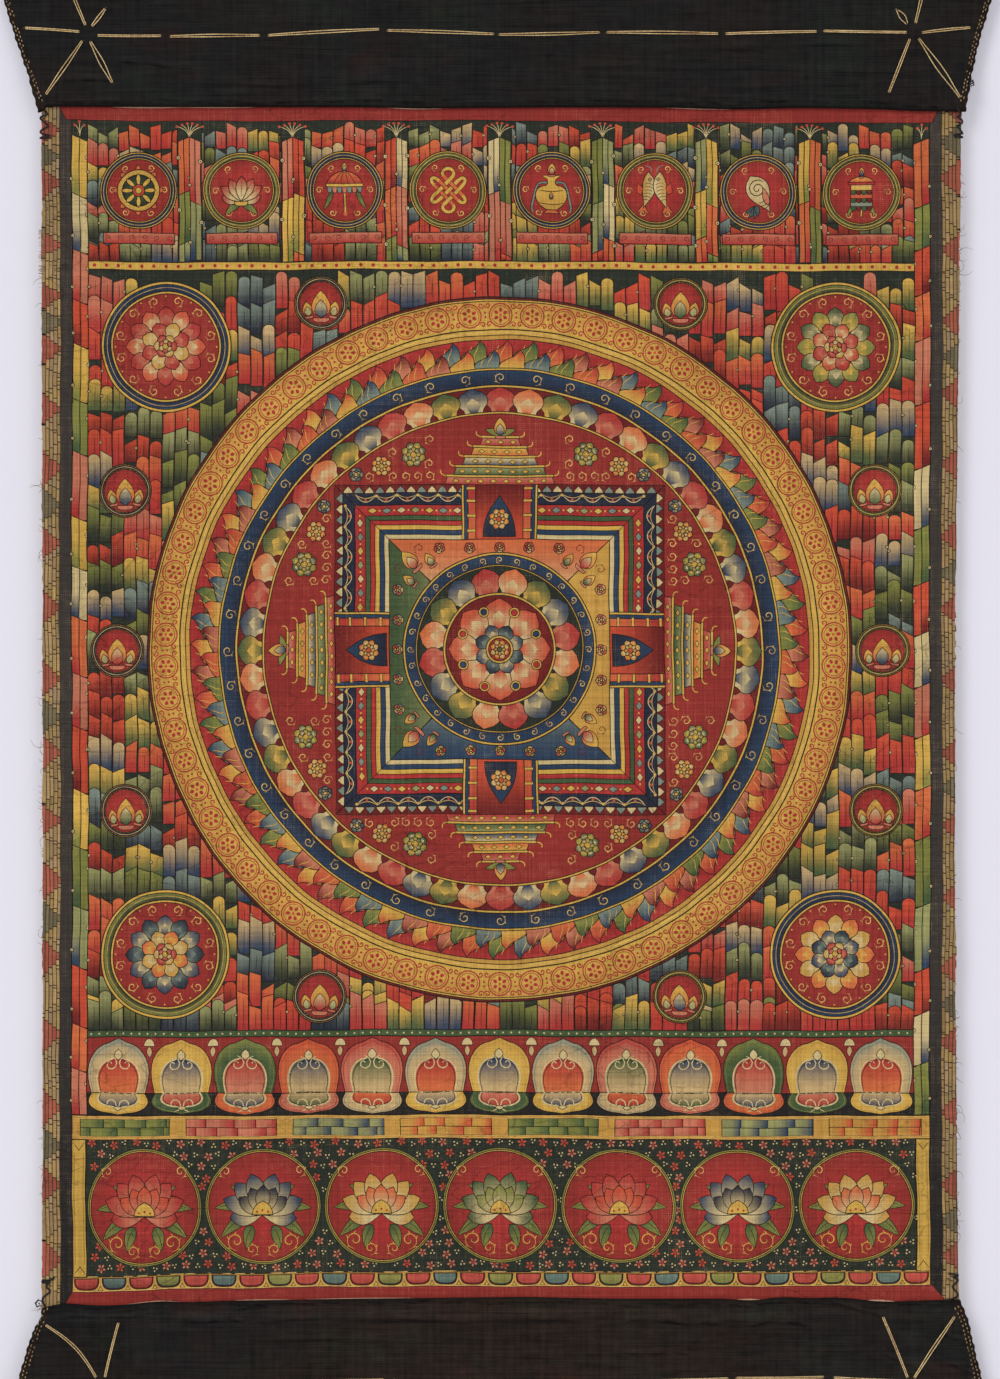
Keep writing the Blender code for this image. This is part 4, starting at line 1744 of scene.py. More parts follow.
def painted_sheet():
    front_points = hung(places, FRONT_OUT)
    back_points = hung(back_places, BACK_OUT)
    order = {tuple(np.round(point, 4)): number for number, point in enumerate(back_places)}
    behind = {number: order[tuple(np.round(places[number], 4))] + len(places) for number in loop}
    wall = [(b, a, behind[a], behind[b]) for a, b in zip(loop, loop[1:] + loop[:1])]
    back = back_corners[:, ::-1] + len(places)
    cotton = np.broadcast_to(COLOUR["cotton"], (back.size + 4 * len(wall), 3))
    outward = facing(places)
    return make_mesh("painted_sheet", np.concatenate([front_points, back_points]),
        [*corners.tolist(), *back.tolist(), *wall], np.concatenate([paint.reshape(-1, 3), cotton]),
        np.concatenate([outward, -facing(back_places)]))


sheet = painted_sheet()
print("painted sheet:", len(sheet.data.polygons), "faces")

# %% [markdown]
# A thin line is hidden where a later field covers it, just as in the painting. Every
# line is walked in short steps, the triangle on each side of a step tells which field
# is on top there, and only the stretches that show are kept.

# %% The stretches of line that show
WALK = 0.35                       # mm from one test to the next
ASIDE = 0.10                      # mm to each side of the line where it is tested
LINE_STEP = 3.0                   # mm, the longest side of a line

surface = flat_surface()


def owner_at(point):
    """The number of the field on top at a point, or more than any number off the cloth."""
    nearest, normal, number, away = surface.find_nearest((point[0], point[1], 0.0))
    return owner[number] if away < 0.01 else math.inf


def shown_stretches(points, closed, order):
    """The parts of a line that no later field covers, each as its own points."""
    if closed:
        points = np.concatenate([points, points[:1]])
    stretches, now = [], []
    for start, end in zip(points[:-1], points[1:]):
        way = end - start
        length = math.hypot(*way)
        if length < 1e-6:
            continue
        steps = max(1, int(length / WALK))
        aside = np.array([-way[1], way[0]]) / length * ASIDE
        for step in range(steps):
            middle = start + way * ((step + 0.5) / steps)
            if min(owner_at(middle + aside), owner_at(middle - aside)) <= order:
                if not now:
                    now = [start + way * (step / steps)]
                if step == steps - 1:
                    now.append(end)
            elif now:
                now.append(start + way * (step / steps))
                stretches.append(now)
                now = []
    if now:
        stretches.append(now)
    if len(stretches) == 1 and closed and len(stretches[0]) == len(points):
        return [(np.array(stretches[0][:-1]), True)]
    return [(np.array(one), False) for one in stretches
            if np.linalg.norm(np.array(one[0]) - one[-1]) > 0.3 or len(one) > 3]


def shown_lines(lines):
    kept = []
    for points, width, colour, closed, taper, order in lines:
        whole = waver(divided(points, LINE_STEP, closed))
        for part, still_closed in shown_stretches(whole, closed, order):
            kept.append((part, width, colour, still_closed, taper))
    return kept


shown_ink, shown_gold = shown_lines(painter.ink), shown_lines(painter.gold)
print(len(painter.ink), "ink lines drawn,", len(shown_ink), "stretches show;",
      len(painter.gold), "gold lines drawn,", len(shown_gold), "stretches show")

# %% [markdown]
# Ink and gold lines are ribbons of paint that lie on the fields. Ink is a thin flat
# film. Gold is laid over a raised ground and catches the light, so its ribbon has two
# edges just under the surface and a crest between them.


# %% Ribbons for the drawn lines
def ribbon(points, width, closed, taper):
    """How far to each side of a line its edges lie, at each point, as two columns."""
    before, after = np.roll(points, 1, 0), np.roll(points, -1, 0)
    if not closed:
        before[0], after[-1] = 2 * points[0] - points[1], 2 * points[-1] - points[-2]
    way_in, way_out = points - before, after - points
    way_in /= np.linalg.norm(way_in, axis=1)[:, None] + 1e-9
    way_out /= np.linalg.norm(way_out, axis=1)[:, None] + 1e-9
    way = way_in + way_out
    length = np.linalg.norm(way, axis=1)
    way /= length[:, None] + 1e-9
    half = width / 2 / np.clip(length / 2, 0.6, 1.0)
    along = np.linspace(0, 1, len(points))
    if taper:
        half = half * (0.25 + 0.75 * np.sin(math.pi * along))
    elif not closed:
        half = half * np.minimum(1, (1 - np.abs(2 * along - 1)) * len(points) * 0.45 + 0.5)
    return np.stack([-way[:, 1], way[:, 0]], 1) * half[:, None]


def drawn_lines(name, lines, heights):
    """One mesh of ribbons, where heights stand for the points of a cross-section."""
    across = len(heights)
    flat_points, faces, colours, count = [], [], [], 0
    for points, width, colour, closed, taper in lines:
        aside = ribbon(points, width, closed, taper)
        strip = np.stack([points + aside * share for share in np.linspace(1, -1, across)], 1)
        steps = len(strip) if closed else len(strip) - 1
        here = count + across * np.arange(steps)
        there = count + across * ((np.arange(steps) + 1) % len(strip))
        for edge in range(across - 1):
            faces.append(np.stack([here + edge, here + edge + 1, there + edge + 1, there + edge], 1))
        colours.append(np.broadcast_to(colour, (4 * (across - 1) * steps, 3)))
        flat_points.append(strip.reshape(-1, 2))
        count += across * len(strip)
    flat_points = np.concatenate(flat_points)
    out = FRONT_OUT + np.tile(heights, len(flat_points) // across)
    return make_mesh(name, hung(flat_points, out), np.concatenate(faces).tolist(),
        np.concatenate(colours), facing(flat_points) if across == 2 else None)


INK_HEIGHTS, GOLD_HEIGHTS = (0.05, 0.05), (-0.02, 0.14, -0.02)
ink_lines = drawn_lines("ink_lines", shown_ink, INK_HEIGHTS)
gold_lines = drawn_lines("gold_lines", shown_gold, GOLD_HEIGHTS)
for piece in (ink_lines, gold_lines):
    print(piece.name, len(piece.data.polygons) * 2, "triangles")

# %% [markdown]
# The two mount panels are dark ribbed cotton. Each flares away from the picture, and
# its edge is turned under and laid over the painting. The numbers are the CAD panels'
# own, with the small turns of the lower panel's corners added.

# %% Sizes of the mount panels
TOP_SIDES = np.array([(0.0, -206.0, 204.0), (30.0, -198.6, 196.6), (46.0, -193.6, 191.8),
    (62.0, -188.0, 188.2), (72.4, -184.4, 186.0)])
BOTTOM_SIDES = np.array([(550.8, -182.8, 183.5), (555.0, -183.6, 185.7), (558.5, -185.2, 187.0),
    (562.0, -186.6, 188.0), (571.5, -189.6, 190.2), (582.0, -192.6, 192.8), (627.6, -206.4, 205.6)])
SEAM = {True: TOP_SIDES[-1, 0], False: BOTTOM_SIDES[0, 0]}     # of the top and bottom panel
STEP_LEVEL, STEP_FALL = 1.5, 10.0
MOUNT_STEP = (SHEET + GAP) / MM


def from_seam(drop, top):
    """How far a place on a panel lies from its seam."""
    return SEAM[top] - drop if top else drop - SEAM[top]


def mount_step(drop, top):
    """How far the panel stands forward of the hanging plane, over the painting's edge."""
    past = CLOTH_TOP / MM - STEP_LEVEL - drop if top else drop - CLOTH_BOTTOM / MM - STEP_LEVEL
    return MOUNT_STEP * (1 - smooth(past / STEP_FALL))


print("the mount stands", round(MOUNT_STEP, 2), "mm forward over the painting")

# %% [markdown]
# Cloth that has been rolled up for years keeps creases. Each is a low soft ridge with a
# valley at its side, along a wandering line; the valley gets painted shade and the ridge a
# painted highlight. It is given by its two ends, its width and its height, because a
# simulation would put creases in other places.

# %% Creases in the mount
CREASES = {
    True: [  # x and drop of one end, then the other, width, height, all in mm
        (-156, 54.6, -122, 57.8, 1.7, 0.42), (-176, 62.6, -152, 62.6, 1.5, 0.38),
        (-128, 65, -20, 63, 2.4, 0.22), (20, 57, 190, 60, 2.2, 0.2),
        (-190, 20, -60, 26, 4.0, 0.20), (-30, 33, 90, 28, 4.0, 0.20),
        (60, 51, 150, 48, 2.5, 0.25), (120, 22, 190, 27, 3.0, 0.25),
        (-110, 12, 20, 10, 4.0, 0.2)],
    False: [
        (-127, 558.8, -101, 558.8, 1.4, 0.56), (-104, 558.8, 46, 559.2, 1.4, 0.30),
        (46, 558.8, 93, 560.4, 1.5, 0.60), (88, 560.4, 128, 560.0, 1.5, 0.42),
        (-107, 555.4, -93, 551.6, 1.2, 0.42), (-180, 557.0, -128, 555.2, 1.3, 0.28),
        (130, 552.4, 155, 557.4, 1.4, 0.42), (175, 562.6, 187, 568.0, 1.3, 0.46),
        (178, 575.0, 190, 580.0, 1.4, 0.42), (49, 571.5, 78, 571.5, 1.8, 0.46),
        (150, 570.0, 180, 584.0, 2.2, 0.22), (-150, 590.0, -20, 594.0, 4.0, 0.22),
        (60, 604.0, 190, 598.0, 4.0, 0.22), (-196, 606.0, -80, 612.0, 4.0, 0.22),
        (-112, 567.5, -30, 566.5, 2.4, 0.22)],
}
VALLEY = 0.52                     # mm, half the width of the valley and of its painted shade

for top in (True, False):         # the sewing has puckered both turned edges
    x = -178.0
    while x < 172:
        length = chance.uniform(5, 14)
        drop = chance.uniform(1.3, 2.8) * (-1 if top else 1) + SEAM[top]
        CREASES[top].append((x, drop, x + length, drop + chance.uniform(-0.7, 0.7), 0.9,
            chance.uniform(0.2, 0.42)))
        x += length * chance.uniform(0.7, 1.5)


def creased(x, drop, top):
    """How high the creases stand in mm, and from 0 to 1 how deep in a valley we are, which sets its
    painted shade.
    """
    height, dark = np.zeros_like(x), np.zeros_like(x)
    for x0, drop0, x1, drop1, width, rise in CREASES[top]:
        length = math.hypot(x1 - x0, drop1 - drop0)
        along = ((x - x0) * (x1 - x0) + (drop - drop0) * (drop1 - drop0)) / length ** 2
        across = ((x - x0) * (drop1 - drop0) - (drop - drop0) * (x1 - x0)) / length
        bends = min(1, length / 40)
        across = across + bends * (0.35 * np.sin(along * 9 + x0) + 0.2 * np.sin(along * 23)
            + 0.12 * np.sin(along * 61 + x0))
        ends = smooth(along * 5) * smooth((1 - along) * 5)
        ends = ends * (0.65 + 0.35 * np.sin(along * 17 + drop0))
        valley = ends * np.exp(-(across / VALLEY) ** 2)
        height += rise * (ends * np.exp(-((across - 0.8 * width) / width) ** 2) - 0.9 * valley)
        # how much painted shade the valley gets in the panel's colour
        dark = np.maximum(dark, valley * min(1, rise / 0.36))
    return height, dark


def rumple(x, drop):
    return np.array([0.10 * noise.noise(Vector((a * 0.02, b * 0.11, 1)))
        + 0.05 * noise.noise(Vector((a * 0.09, b * 0.33, 7)))
        for a, b in zip(x.ravel(), drop.ravel())]).reshape(x.shape)


print(sum(map(len, CREASES.values())), "creases")

# %% [markdown]
# A panel is a fine grid whose two faces are shaped apart: the front has creases, a
# raised fold along the seam and a narrow hem down each side. The two rows of stitches
# pull the hem in, and its edge waves with that pull.

# %% The mount panels
HEM = 3.6                         # mm that the side hem is wide
HEM_ROWS = (1.2, 2.4)             # mm from the edge to each row of stitches
STITCH_PITCH = 1.7                # mm from one hem stitch to the next
COLUMN_STEP, ROW_STEP = 1.9, 0.78
CREASED_STEP, CREASED_ROOM = 0.42, 20.0   # rows lie closer where the sharp creases are
PANEL_THICKNESS = 0.9
PANEL_OUT = 0.45                  # mm, a panel's face in front of the CAD sheet's middle


def hem_edge(drop, side):
    """How far the edge waves out and in, pulled by each stitch."""
    return 0.2 * np.sin(math.pi * drop / STITCH_PITCH + side) + 0.12 * np.sin(drop * 0.71)


def panel_grid(top):
    sides = TOP_SIDES if top else BOTTOM_SIDES
    first, last = sides[0, 0], sides[-1, 0]
    middle = last - CREASED_ROOM if top else first + CREASED_ROOM
    steps = (ROW_STEP, CREASED_STEP) if top else (CREASED_STEP, ROW_STEP)
    rows = np.concatenate([np.linspace(first, middle, int((middle - first) / steps[0])),
        np.linspace(middle, last, int((last - middle) / steps[1]))[1:]])
    left = np.interp(rows, sides[:, 0], sides[:, 1])
    right = np.interp(rows, sides[:, 0], sides[:, 2])
    columns = int(410 / COLUMN_STEP)
    share = np.linspace(0, 1, columns)
    edge_share = np.array([0.5, 1.2, 1.8, 2.4, 3.0, HEM, HEM + 0.5]) / 400
    share = np.sort(np.concatenate([share[4:-4], [0, 1], edge_share, 1 - edge_share]))
    x = left[:, None] + share[None] * (right - left)[:, None]
    drop = np.broadcast_to(rows[:, None], x.shape).copy()
    from_edge = np.minimum(x - left[:, None], right[:, None] - x)
    x = x + hem_edge(drop, np.sign(x)) * smooth(1 - from_edge / 2) * np.sign(x)
    return x, drop, from_edge


def front_relief(x, drop, from_edge, top):
    """Millimetres that the front stands out beyond the plain sheet."""
    seam = from_seam(drop, top)
    fold = 0.16 * np.exp(-((seam - 2.2) / 2.4) ** 2) - 0.22 * np.exp(-(seam / 0.9) ** 2)
    hem = 0.2 * smooth((HEM - from_edge) / 0.6) - 0.3 * np.exp(-(from_edge / 0.5) ** 2)
    pull = sum(0.14 * np.exp(-((from_edge - row) / 0.45) ** 2) * (0.5
        + 0.5 * np.sin(2 * math.pi * drop / STITCH_PITCH)) for row in HEM_ROWS)
    away = smooth(seam / 6) * smooth(from_edge / 12)
    return (fold + hem - pull + creased(x, drop, top)[0] * smooth(seam / 1.2)
            + rumple(x, drop) * (0.3 + 0.7 * away))


BLACK_DYE = np.array([0.80, 0.80, 0.80])
BROWNED_DYE = np.array([1.38, 0.98, 0.74])    # the middle of the lower panel has faded


def painted_shade_and_dye_tones(x, drop, from_edge, top):
    """What the dye's colour is multiplied by: painted shade in crease valleys and along the seams,
    painted highlight on crease ridges and the lower fold's crown, and a brown hem.
    """
    seam = from_seam(drop, top)
    height, dark = creased(x, drop, top)
    hem = smooth((HEM - 0.4 - from_edge) / 0.8)[..., None]
    # painted shade in the crease valleys and painted highlight on the crease ridges
    tone = 1.0 - 0.9 * dark + 0.8 * np.clip(height, 0, 0.4)
    if top:
        # painted shade along the top panel's seam
        tone = tone - 0.75 * smooth(1 - seam / 1.6)
    else:                         # painted shade at the sewn edge, painted highlight on the fold's crown, painted shade in the crease beside it
        tone = (tone - 0.5 * np.exp(-(seam / 1.7) ** 2) + 0.3 * np.exp(-((seam - 5.0) / 2.2) ** 2)
            - 0.15 * np.exp(-((seam - 8.2) / 0.9) ** 2))
    hem_tone = 0.85 + 0.3 * np.sin(math.pi * drop / STITCH_PITCH) ** 2
    brown = np.array([1.35, 0.86, 0.62]) * hem_tone[..., None]
    browned = 0 if top else np.exp(-((x - 10) / 105) ** 2)[..., None]
    dye = BLACK_DYE + browned * (BROWNED_DYE - BLACK_DYE)
    return np.maximum(tone, 0.06)[..., None] * dye * (1 - hem + hem * brown)


def mount_panel(name, top):
    x, drop, from_edge = panel_grid(top)
    rows, columns = x.shape
    base = forward(x * MM, drop * MM) / MM + mount_step(drop, top)
    front = base + PANEL_OUT + np.clip(front_relief(x, drop, from_edge, top), -0.4, 0.8)
    back = base + PANEL_OUT - PANEL_THICKNESS - 0.25 * smooth((HEM - from_edge) / 0.8)
    if top:
        seam_drop = (seam_line(UPPER_LINE, x) - SEAM[top]) * smooth((drop - 58) / 14.4)
    else:
        seam_drop = (seam_line(LOWER_LINE, x) - SEAM[top]) * smooth((566 - drop) / 15.2)
    z = -(drop + seam_drop)
    points = np.concatenate([np.stack([x, -out, z], -1).reshape(-1, 3) for out in (front, back)]) * MM
    number = np.arange(rows * columns).reshape(rows, columns)
    quads = np.stack([number[:-1, :-1], number[1:, :-1], number[1:, 1:], number[:-1, 1:]], -1)
    quads = quads.reshape(-1, 4)
    size = rows * columns
    rim = np.concatenate([number[:, 0], number[-1, 1:], number[::-1, -1][1:], number[0, ::-1][1:-1]])
    following = np.roll(rim, -1)
    wall = np.stack([following, rim, rim + size, following + size], 1)
    faces = np.concatenate([quads, quads[:, ::-1] + size, wall])
    shade_and_dye_tones = painted_shade_and_dye_tones(x, drop, from_edge, top).reshape(-1, 3)
    return make_mesh(name, points, faces.tolist(), np.concatenate([shade_and_dye_tones, shade_and_dye_tones])[faces].reshape(-1, 3))


panels = {True: mount_panel("top_panel", True), False: mount_panel("bottom_panel", False)}
for panel in panels.values():
    print(panel.name, len(panel.data.polygons) * 2, "triangles")

# %% [markdown]
# Stitches lie on the cloth, so each needs to know where the cloth's face is. A ray is
# shot at the finished panels and the painted sheet, from the front or from behind, and
# the first face that it meets is where the thread lies.


# %% Finding the face of the cloth
def tree_of(piece):
    points = [vertex.co for vertex in piece.data.vertices]
    return BVHTree.FromPolygons(points, [list(face.vertices) for face in piece.data.polygons])


RAY_START = 0.05                  # metres from the cloth, well clear of every fold
cloth_trees = [tree_of(piece) for piece in (*panels.values(), sheet)]


def on_cloth(x, z, lift, side=-1):
    """The place in mm over the cloth at x, z; side is -1 in front and 1 behind."""
    start = Vector((x * MM, RAY_START * side, z * MM))
    hits = [tree.ray_cast(start, Vector((0, -side, 0)))[0] for tree in cloth_trees]
    met = [hit.y / MM for hit in hits if hit]
    if met:
        y = min(met) if side < 0 else max(met)
    else:
        y = -float(forward(x * MM, -z * MM)) / MM + PANEL_OUT * side
    return np.array([x, y + lift * side, z])


print("front of the top panel at its middle, mm:", on_cloth(0, -40, 0).round(2))

# %% [markdown]
# A sewing thread is two fine yarns twisted together, so its cross-section has two
# lobes that turn along its length. One function sweeps any cross-section along any
# number of paths, and closes both ends of each with a point.


# %% Threads as swept tubes
def swept(name, paths, radius, sides=8, twist=0.0, lobes=0.0, thin_ends=False):
    """Tubes along paths in mm. twist is the length of one turn of the lobes."""
    points, faces, count = [], [], 0
    turn = np.arange(sides) * (2 * math.pi / sides)
    for path in paths:
        path = np.asarray(path, float)
        way = np.gradient(path, axis=0)
        way /= np.linalg.norm(way, axis=1)[:, None] + 1e-9
        across = np.cross(way, (0.03, 1.0, 0.02))
        across /= np.linalg.norm(across, axis=1)[:, None] + 1e-9
        up = np.cross(way, across)
        steps = np.linalg.norm(np.diff(path, axis=0, prepend=path[:1]), axis=1)
        spin = 2 * math.pi * np.cumsum(steps) / twist if twist else np.zeros(len(path))
        size = radius * np.ones(len(path))
        if thin_ends:
            size *= np.linspace(1.0, 0.35, len(path))
        reach = 1 - lobes * np.sin(turn) ** 2
        angle = turn[None] + spin[:, None]
        around = (np.cos(angle)[..., None] * across[:, None]
            + np.sin(angle)[..., None] * up[:, None]) * reach[None, :, None]
        rings = path[:, None] + around * size[:, None, None]
        points += [rings.reshape(-1, 3), path[:1] - way[:1] * radius * 0.5,
            path[-1:] + way[-1:] * radius * 0.5]
        number = count + np.arange(len(path) * sides).reshape(len(path), sides)
        beside = np.roll(number, -1, 1)
        quads = np.stack([number[:-1], number[1:], beside[1:], beside[:-1]], -1)
        faces += quads.reshape(-1, 4).tolist()
        first = count + len(path) * sides
        faces += [(first, a, b) for a, b in zip(number[0], beside[0])]
        faces += [(first + 1, b, a) for a, b in zip(number[-1], beside[-1])]
        count = first + 2
    return make_mesh(name, np.concatenate(points) * MM, faces)


# %% [markdown]
# The gold stitches are long single ones in doubled thread: a dashed line across each
# panel, and a star of rays at its two ends. Where a stitch goes down, the thread comes
# up again a few millimetres on, so a short bar of it shows at the back.

# %% Where the gold stitches go
STRAND_RADIUS = 0.25
STRANDS_APART = 0.6
STRAND_TWIST = 2.1                # mm along a strand in which its two yarns turn once
RAYS = [  # x and drop in mm of the two ends, how much the strands part, and the bow
    (-167.5, 42.8, -190.6, 41.3, 0.0, 0.0), (-161.6, 44.2, -134.9, 44.3, 0.0, 0.0),
    (-165.5, 40.8, -175.6, 16.9, 0.25, 0.0), (-163.7, 41.1, -157.5, 33.0, 0.4, 0.0),
    (-166.6, 45.8, -181.8, 68.6, 0.5, 0.0), (-164.2, 46.0, -154.7, 63.8, 0.9, 0.0),
    (168.0, 43.2, 188.8, 41.1, 0.15, 0.0), (166.0, 40.0, 172.1, 14.7, 0.3, 0.0),
    (163.2, 40.2, 158.4, 33.6, 1.2, 0.0), (164.2, 44.9, 155.2, 67.8, 0.15, 0.0),
    (167.1, 44.9, 184.2, 69.8, 1.2, 0.0), (-161.2, 581.6, -182.0, 559.2, 0.2, -2.1),
    (-158.2, 581.6, -152.4, 558.4, 0.0, 0.0), (-162.6, 584.6, -187.4, 583.2, 0.0, 0.0),
    (-160.8, 587.6, -177.0, 611.0, 0.0, 0.0), (-158.0, 588.0, -150.6, 611.6, 0.2, 0.0),
    (-156.6, 585.0, -131.4, 583.6, 0.0, 0.0), (163.2, 581.6, 152.8, 556.0, 0.0, 0.0),
    (165.2, 581.6, 182.0, 555.6, 0.3, 0.0), (167.0, 583.4, 190.4, 581.8, 0.0, 0.0),
    (165.4, 586.4, 180.6, 610.2, 0.2, 0.0), (163.0, 586.6, 154.4, 611.0, 0.0, 0.0)]
TOP_DASHES = [(-132.2, 44.6, -96.0, 44.2), (-92.8, 44.2, -48.2, 41.7), (-45.2, 42.2, -2.3, 43.7),
    (-0.5, 43.9, 39.8, 43.0), (42.6, 43.0, 87.4, 43.6), (90.0, 43.6, 126.9, 42.6),
    (129.2, 42.4, 162.9, 43.0)]
BOTTOM_DASHES = [(-128.6, 583.8, -90.2, 582.6), (-87.0, 582.8, -46.4, 582.0), (-43.4, 582.2, -1.4, 583.4),
    (2.0, 583.2, 41.0, 582.2), (44.0, 582.2, 91.4, 581.4), (94.4, 581.2, 129.6, 580.7),
    (133.4, 580.9, 160.6, 582.2)]


def stitch(x0, drop0, x1, drop1, part, bow=0.0, side=-1):
    """The two strands of one stitch: up from its hole, along the cloth, and down."""
    length = math.hypot(x1 - x0, drop1 - drop0)
    share = np.linspace(0, 1, max(8, int(length / 0.5)))
    bow = bow + chance.uniform(-0.25, 0.25)
    strands = []
    for strand in (-1, 1):
        aside = strand * (STRANDS_APART / 2 + part * 0.7 * np.sin(math.pi * share) ** 2)
        aside = aside * np.minimum(1, np.minimum(share, 1 - share) * length / 1.5 + 0.35)
        aside = aside + bow * np.sin(math.pi * share)
        x = x0 + share * (x1 - x0) + aside * (drop1 - drop0) / length
        drop = drop0 + share * (drop1 - drop0) - aside * (x1 - x0) / length
        ends = np.minimum(share, 1 - share) * length
        lift = STRAND_RADIUS * 0.9 - 1.0 * (1 - smooth(ends / 1.1))
        strands.append([on_cloth(a, -b, c, side) for a, b, c in zip(x, drop, lift)])
    return strands


gold_paths = []
for x0, drop0, x1, drop1, part, bow in RAYS:
    gold_paths += stitch(x0, drop0, x1, drop1, part, bow)
    gold_paths += stitch(x1, drop1, x1 + 0.08 * (x0 - x1), drop1 + 0.08 * (drop0 - drop1), 0, side=1)
for dashes in (TOP_DASHES, BOTTOM_DASHES):
    for number, (x0, drop0, x1, drop1) in enumerate(dashes):
        gold_paths += stitch(x0 - 0.5, drop0, x1 + 0.5, drop1, chance.choice((0, 0.1, 0.3)))
        if number + 1 < len(dashes):
            gold_paths += stitch(x1, drop1, *dashes[number + 1][:2], 0, side=1)
gold_stitches = swept("gold_stitches", gold_paths, STRAND_RADIUS, 6, STRAND_TWIST, 0.34)
print(len(gold_paths), "strands,", len(gold_stitches.data.polygons) * 2, "triangles")

# %% [markdown]
# The panels' side hems are sewn with small running stitches in two rows. Each shows as
# a pale seed of thread. The seeds sit in the dimples that the hem was given.


# %% The hem stitches
SEED_RADIUS = 0.22


def seed(x, drop, way, side):
    """A short fat stitch along the way, as a path whose ends dip into the cloth."""
    share = np.linspace(-0.5, 0.5, 5)
    length = chance.uniform(0.5, 0.85)
    lift = 0.10 - 0.5 * (2 * share) ** 2 * 0.5
    return [on_cloth(x + s * length * way[0], -(drop + s * length * way[1]), up, side)
            for s, up in zip(share, lift)]


hem_paths = []
for sides in (TOP_SIDES, BOTTOM_SIDES):
    for column, inward in ((1, 1), (2, -1)):
        for row in HEM_ROWS:
            for drop in np.arange(sides[0, 0] + 1.6, sides[-1, 0] - 1.2, STITCH_PITCH):
                edge = np.interp(drop, sides[:, 0], sides[:, column])
                ahead = np.interp(drop + 1, sides[:, 0], sides[:, column])
                way = np.array([ahead - edge, 1.0]) / math.hypot(ahead - edge, 1.0)
                if chance.random() < 0.08:
                    continue
                shift = chance.uniform(-0.25, 0.25) + (row > HEM_ROWS[0]) * STITCH_PITCH / 2
                x = edge + inward * (row + chance.uniform(-0.12, 0.12))
                hem_paths += [seed(x, drop + shift, way, face) for face in (-1, 1)]
hem_stitches = swept("hem_stitches", hem_paths, SEED_RADIUS, 6)
print(len(hem_paths), "hem stitches,", len(hem_stitches.data.polygons) * 2, "triangles")

# %% [markdown]
# Near its four corners the painted cloth's raw edge is caught by slanting stitches in
# black thread, which go over the edge and round to the back. Each thread is given by
# the places where it turns, read from the photograph. One ends in a small knot.

# %% The black corner stitches
BLACK_RADIUS = 0.43
BLACK_LIFT = 0.3                  # mm from the cloth's face to the middle of the thread
PAST_EDGE = 0.35                  # mm that a turn round the raw edge stands out beyond it
PAST_BACK = 2.0                   # mm behind the face that a turn round the edge passes
CORNER_THREADS = [  # x and drop in mm of each turn
    [(-182.5, 73.5), (-180.6, 76.0), (-183.8, 76.9), (-183.8, 77.8), (-181.4, 79.5),
     (-180.3, 80.6), (-183.6, 82.4), (-183.8, 83.4), (-179.4, 84.5), (-183.8, 85.2),
     (-183.8, 85.5), (-179.7, 85.3)],
    [(182.8, 73.6), (184.5, 75.9), (182.6, 76.8), (184.6, 78.0), (184.8, 79.4),
     (182.6, 80.5), (183.8, 81.8), (184.8, 83.2), (184.8, 83.6), (181.0, 84.1),
     (184.8, 84.8), (184.8, 85.1), (181.1, 84.7)],
    [(-178.1, 540.9), (-179.2, 541.8), (-182.9, 541.9), (-183.0, 542.8), (-179.5, 542.4),
     (-181.6, 544.4), (-179.4, 546.2), (-182.8, 548.9), (-182.8, 550.4), (-181.6, 552.6)],
    [(179.3, 539.2), (182.9, 539.6), (183.0, 540.2), (180.9, 540.6), (183.0, 541.4),
     (183.0, 542.1), (180.6, 544.4), (182.9, 547.2), (183.0, 548.2), (180.5, 549.4),
     (178.8, 549.9)]]
KNOT = [(187.7, 62.2), (188.9, 62.4), (189.3, 63.4), (188.2, 63.9), (188.0, 62.9), (189.1, 63.0),
        (189.3, 64.3), (188.2, 64.9), (187.8, 64.0), (188.8, 63.6)]
TANGLE = [(-182.9, 550.4), (-184.4, 549.7), (-185.6, 551.0), (-184.9, 552.5), (-183.5, 552.0),
    (-184.2, 550.9)]


def edge_x(drop, side):
    column = 1 if side < 0 else 2
    return float(np.interp(drop, PAINTED_SIDES[:, 0], PAINTED_SIDES[:, column]))


def sewn(turns):
    """A thread's path over the cloth, passing behind it between two turns at the edge."""
    side = math.copysign(1, turns[0][0])
    path = []
    for (x0, drop0), (x1, drop1) in zip(turns, turns[1:]):
        outermost = abs(edge_x(drop0, side)) - 0.1
        round_back = abs(x0) > outermost and abs(x1) > outermost
        for share in np.linspace(0, 1, 7)[:-1]:
            x, drop = x0 + (x1 - x0) * share, drop0 + (drop1 - drop0) * share
            x = side * min(abs(x), abs(edge_x(drop, side)) + PAST_EDGE)
            place = on_cloth(x, -drop, BLACK_LIFT)
            if round_back:
                place += np.array([0.3 * side, PAST_BACK, 0]) * math.sin(math.pi * share)
            path.append(place)
    path = np.array(path)
    for _ in range(2):
        path[1:-1] = 0.25 * path[:-2] + 0.5 * path[1:-1] + 0.25 * path[2:]
    return path


black_paths = [sewn(turns) for turns in CORNER_THREADS]
for loop, level in ((KNOT, on_cloth(187.2, -63.8, 0)[1]), (TANGLE, on_cloth(-183, -550.4, 0)[1])):
    black_paths.append([(x, level - 0.1 * number, -drop) for number, (x, drop) in enumerate(loop)])
black_stitches = swept("black_stitches", black_paths, BLACK_RADIUS, 8, 2.4, 0.16)
print(len(black_stitches.data.polygons) * 2, "triangles in black thread")

# %% [markdown]
# The raw side edges of the cotton have let go of some of their threads. Most are short
# hairs, a few longer ones curl away. They gather where the cloth was handled most.

